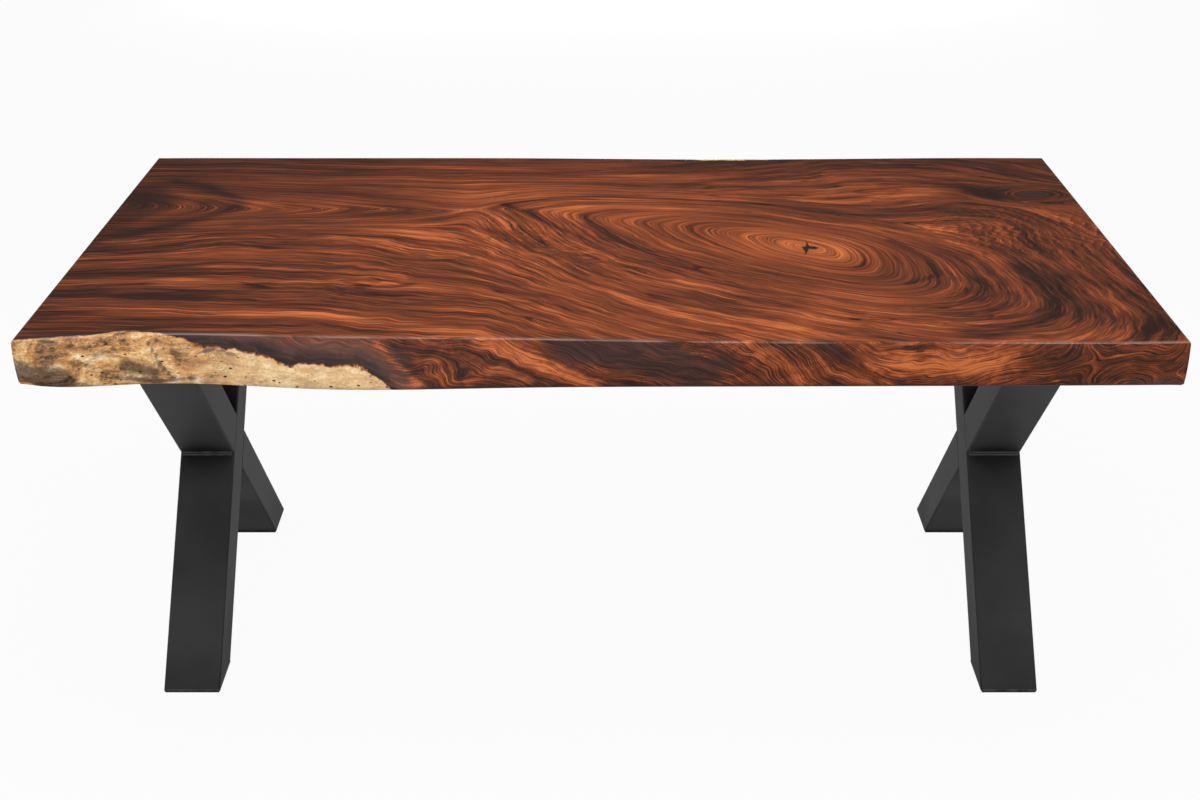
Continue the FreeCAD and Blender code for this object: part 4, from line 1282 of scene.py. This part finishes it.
# %% Floor
FLOOR_HALF = 80.0
FLOOR_GREY, FLOOR_ROUGHNESS, FLOOR_WHITE = 0.6, 0.9, 0.95
floor_mesh = bpy.data.meshes.new("studio_floor")
floor_corners = [(-1, -1), (1, -1), (1, 1), (-1, 1)]
floor_mesh.from_pydata([(x * FLOOR_HALF, y * FLOOR_HALF, 0) for x, y in floor_corners], [], [(0, 1, 2, 3)])
floor = bpy.data.objects.new("studio_floor", floor_mesh)
scene.collection.objects.link(floor)
floor_finish, tree, shader = new_finish("pale_studio_floor")
shader.inputs["Base Color"].default_value = (FLOOR_GREY, FLOOR_GREY, FLOOR_GREY, 1)
shader.inputs["Roughness"].default_value = FLOOR_ROUGHNESS
shader.inputs["Specular IOR Level"].default_value = 0.0
white = tree.nodes.new("ShaderNodeEmission")
rays = tree.nodes.new("ShaderNodeLightPath").outputs
seen = maths(tree, "ADD", rays["Is Camera Ray"], rays["Is Glossy Ray"])
seen = maths(tree, "ADD", seen, rays["Is Transmission Ray"], clamp=True)
mixed = tree.nodes.new("ShaderNodeMixShader")
tree.links.new(times(tree, seen, FLOOR_WHITE), mixed.inputs["Fac"])
tree.links.new(shader.outputs["BSDF"], mixed.inputs[1])
tree.links.new(white.outputs["Emission"], mixed.inputs[2])
tree.links.new(mixed.outputs["Shader"], tree.nodes["Material Output"].inputs["Surface"])
floor_mesh.materials.append(floor_finish)
print("floor side:", 2 * FLOOR_HALF, "m")

# %% World and lamps
WORLD_STRENGTH = 0.22
# Each lamp: its name, its place, where it points, its width and height in metres, and its watts
LAMPS = (
    ("overhead_softbox", (0, -0.5, 3.2), (0, 0, 0.76), (3.6, 2.4), 95),
    ("front_fill", (0, -4.6, 1.8), (0, 0, 0.5), (4.0, 1.8), 108),
    ("left_low_fill", (-3.6, -1.2, 0.5), (0, 0, 0.35), (1.6, 0.8), 9),
    ("right_low_fill", (3.6, -1.2, 0.5), (0, 0, 0.35), (1.6, 0.8), 9),
    ("back_low_fill", (0, 6.0, 0.42), (0, 0, 0.42), (4.0, 0.6), 110),
)
world = bpy.data.worlds.new("studio_world")
world.use_nodes = True
sky = world.node_tree.nodes["Background"].inputs
sky["Color"].default_value = (1, 1, 1, 1)
sky["Strength"].default_value = WORLD_STRENGTH
scene.world = world


def soft_lamp(name, place, target, size, power):
    """A soft rectangular lamp that points at a place."""
    data = bpy.data.lights.new(name, "AREA")
    data.shape = "RECTANGLE"
    data.size, data.size_y = size
    data.energy = power
    lamp = bpy.data.objects.new(name, data)
    lamp.location = place
    lamp.rotation_euler = (Vector(target) - Vector(place)).to_track_quat("-Z", "Y").to_euler()
    scene.collection.objects.link(lamp)


for lamp in LAMPS:
    soft_lamp(*lamp)
scene.view_settings.view_transform = "Standard"
print("lamps:", len(LAMPS))
